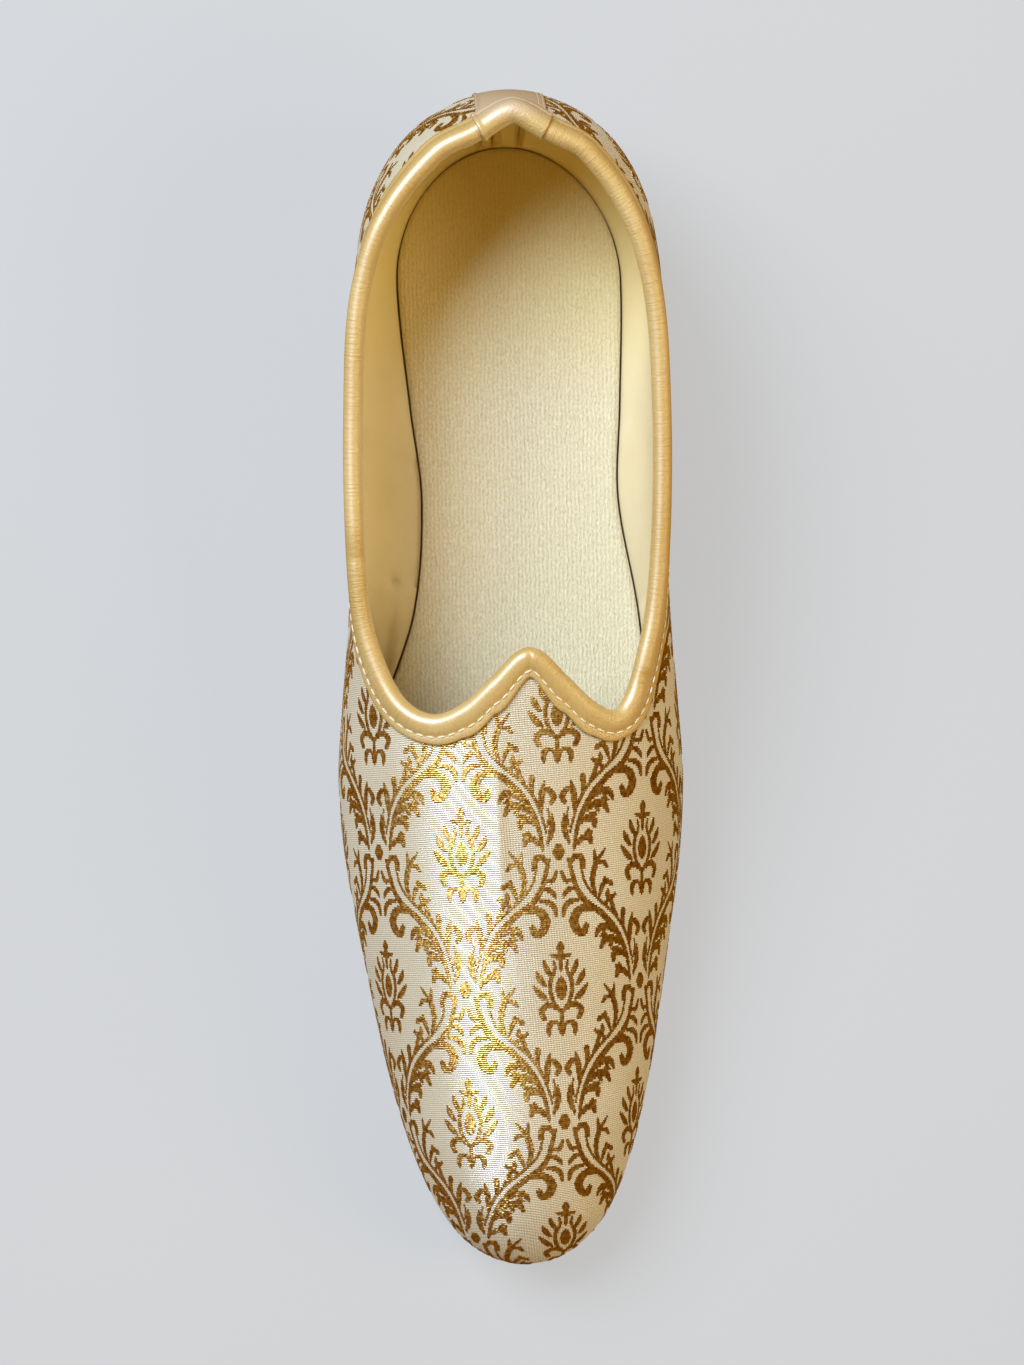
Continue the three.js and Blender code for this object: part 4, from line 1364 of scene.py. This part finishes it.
def camera():
    bpy.ops.object.camera_add()
    eye = bpy.context.object
    eye.name = "photo_camera"
    eye.data.lens = LENS
    at, aim = Vector(CAMERA_AT) * MM, Vector(AIM_AT) * MM
    back = (at - aim).normalized()
    up = Vector((math.sin(ROLL), math.cos(ROLL), 0))
    right = up.cross(back).normalized()
    up = back.cross(right)
    eye.matrix_world = Matrix.Translation(at) @ Matrix((right, up, back)).transposed().to_4x4()
    bpy.context.scene.camera = eye


def area_light(name, at, size, power, colour, hidden_from):
    bpy.ops.object.light_add(type="AREA", location=at)
    lamp = bpy.context.object
    lamp.name = name
    lamp.data.size = size
    lamp.data.energy = power
    lamp.data.color = colour
    lamp.rotation_euler = (LIGHTS_AIM - Vector(at)).to_track_quat("-Z", "Y").to_euler()
    if hidden_from:
        setattr(lamp, hidden_from, False)


def studio():
    bpy.ops.mesh.primitive_plane_add(size=FLOOR_SIZE)
    floor = bpy.context.object
    floor.name = "floor"
    floor.data.materials.append(pale_floor())
    floor.visible_glossy = False
    for light in LIGHTS:
        area_light(*light)
    world = bpy.data.worlds.new("studio")
    world.use_nodes = True
    room = Nodes(world.node_tree)
    lit_by = room.add("ShaderNodeBackground", AMBER_ROOM).outputs[0]
    seen_as = room.add("ShaderNodeBackground", GREY_ROOM).outputs[0]
    by_camera = room.add("ShaderNodeLightPath").outputs["Is Camera Ray"]
    both = room.add("ShaderNodeMixShader", {0: by_camera, 1: lit_by, 2: seen_as}).outputs[0]
    room.feed(world.node_tree.nodes["World Output"].inputs[0], both)
    bpy.context.scene.world = world
    bpy.context.scene.view_settings.view_transform = "Standard"


def main():
    brocade_upper(brocade_ground(), gilt_thread())
    lining_piece(lining_skin())
    topline_binding(leatherette("pearl_binding", PEARL_BINDING, creases=BINDING_CREASES))
    binding_stitches(sewing_thread("ivory_sewing_thread", IVORY_THREAD))
    strip_leather = leatherette("pearl_strip", PEARL_STRIP, back=STRIP_BACK)
    heel_strip(strip_leather, sewing_thread("tan_sewing_thread", TAN_THREAD))
    insole(felt())
    outsole(sole_rubber())
    studio()
    camera()


main()
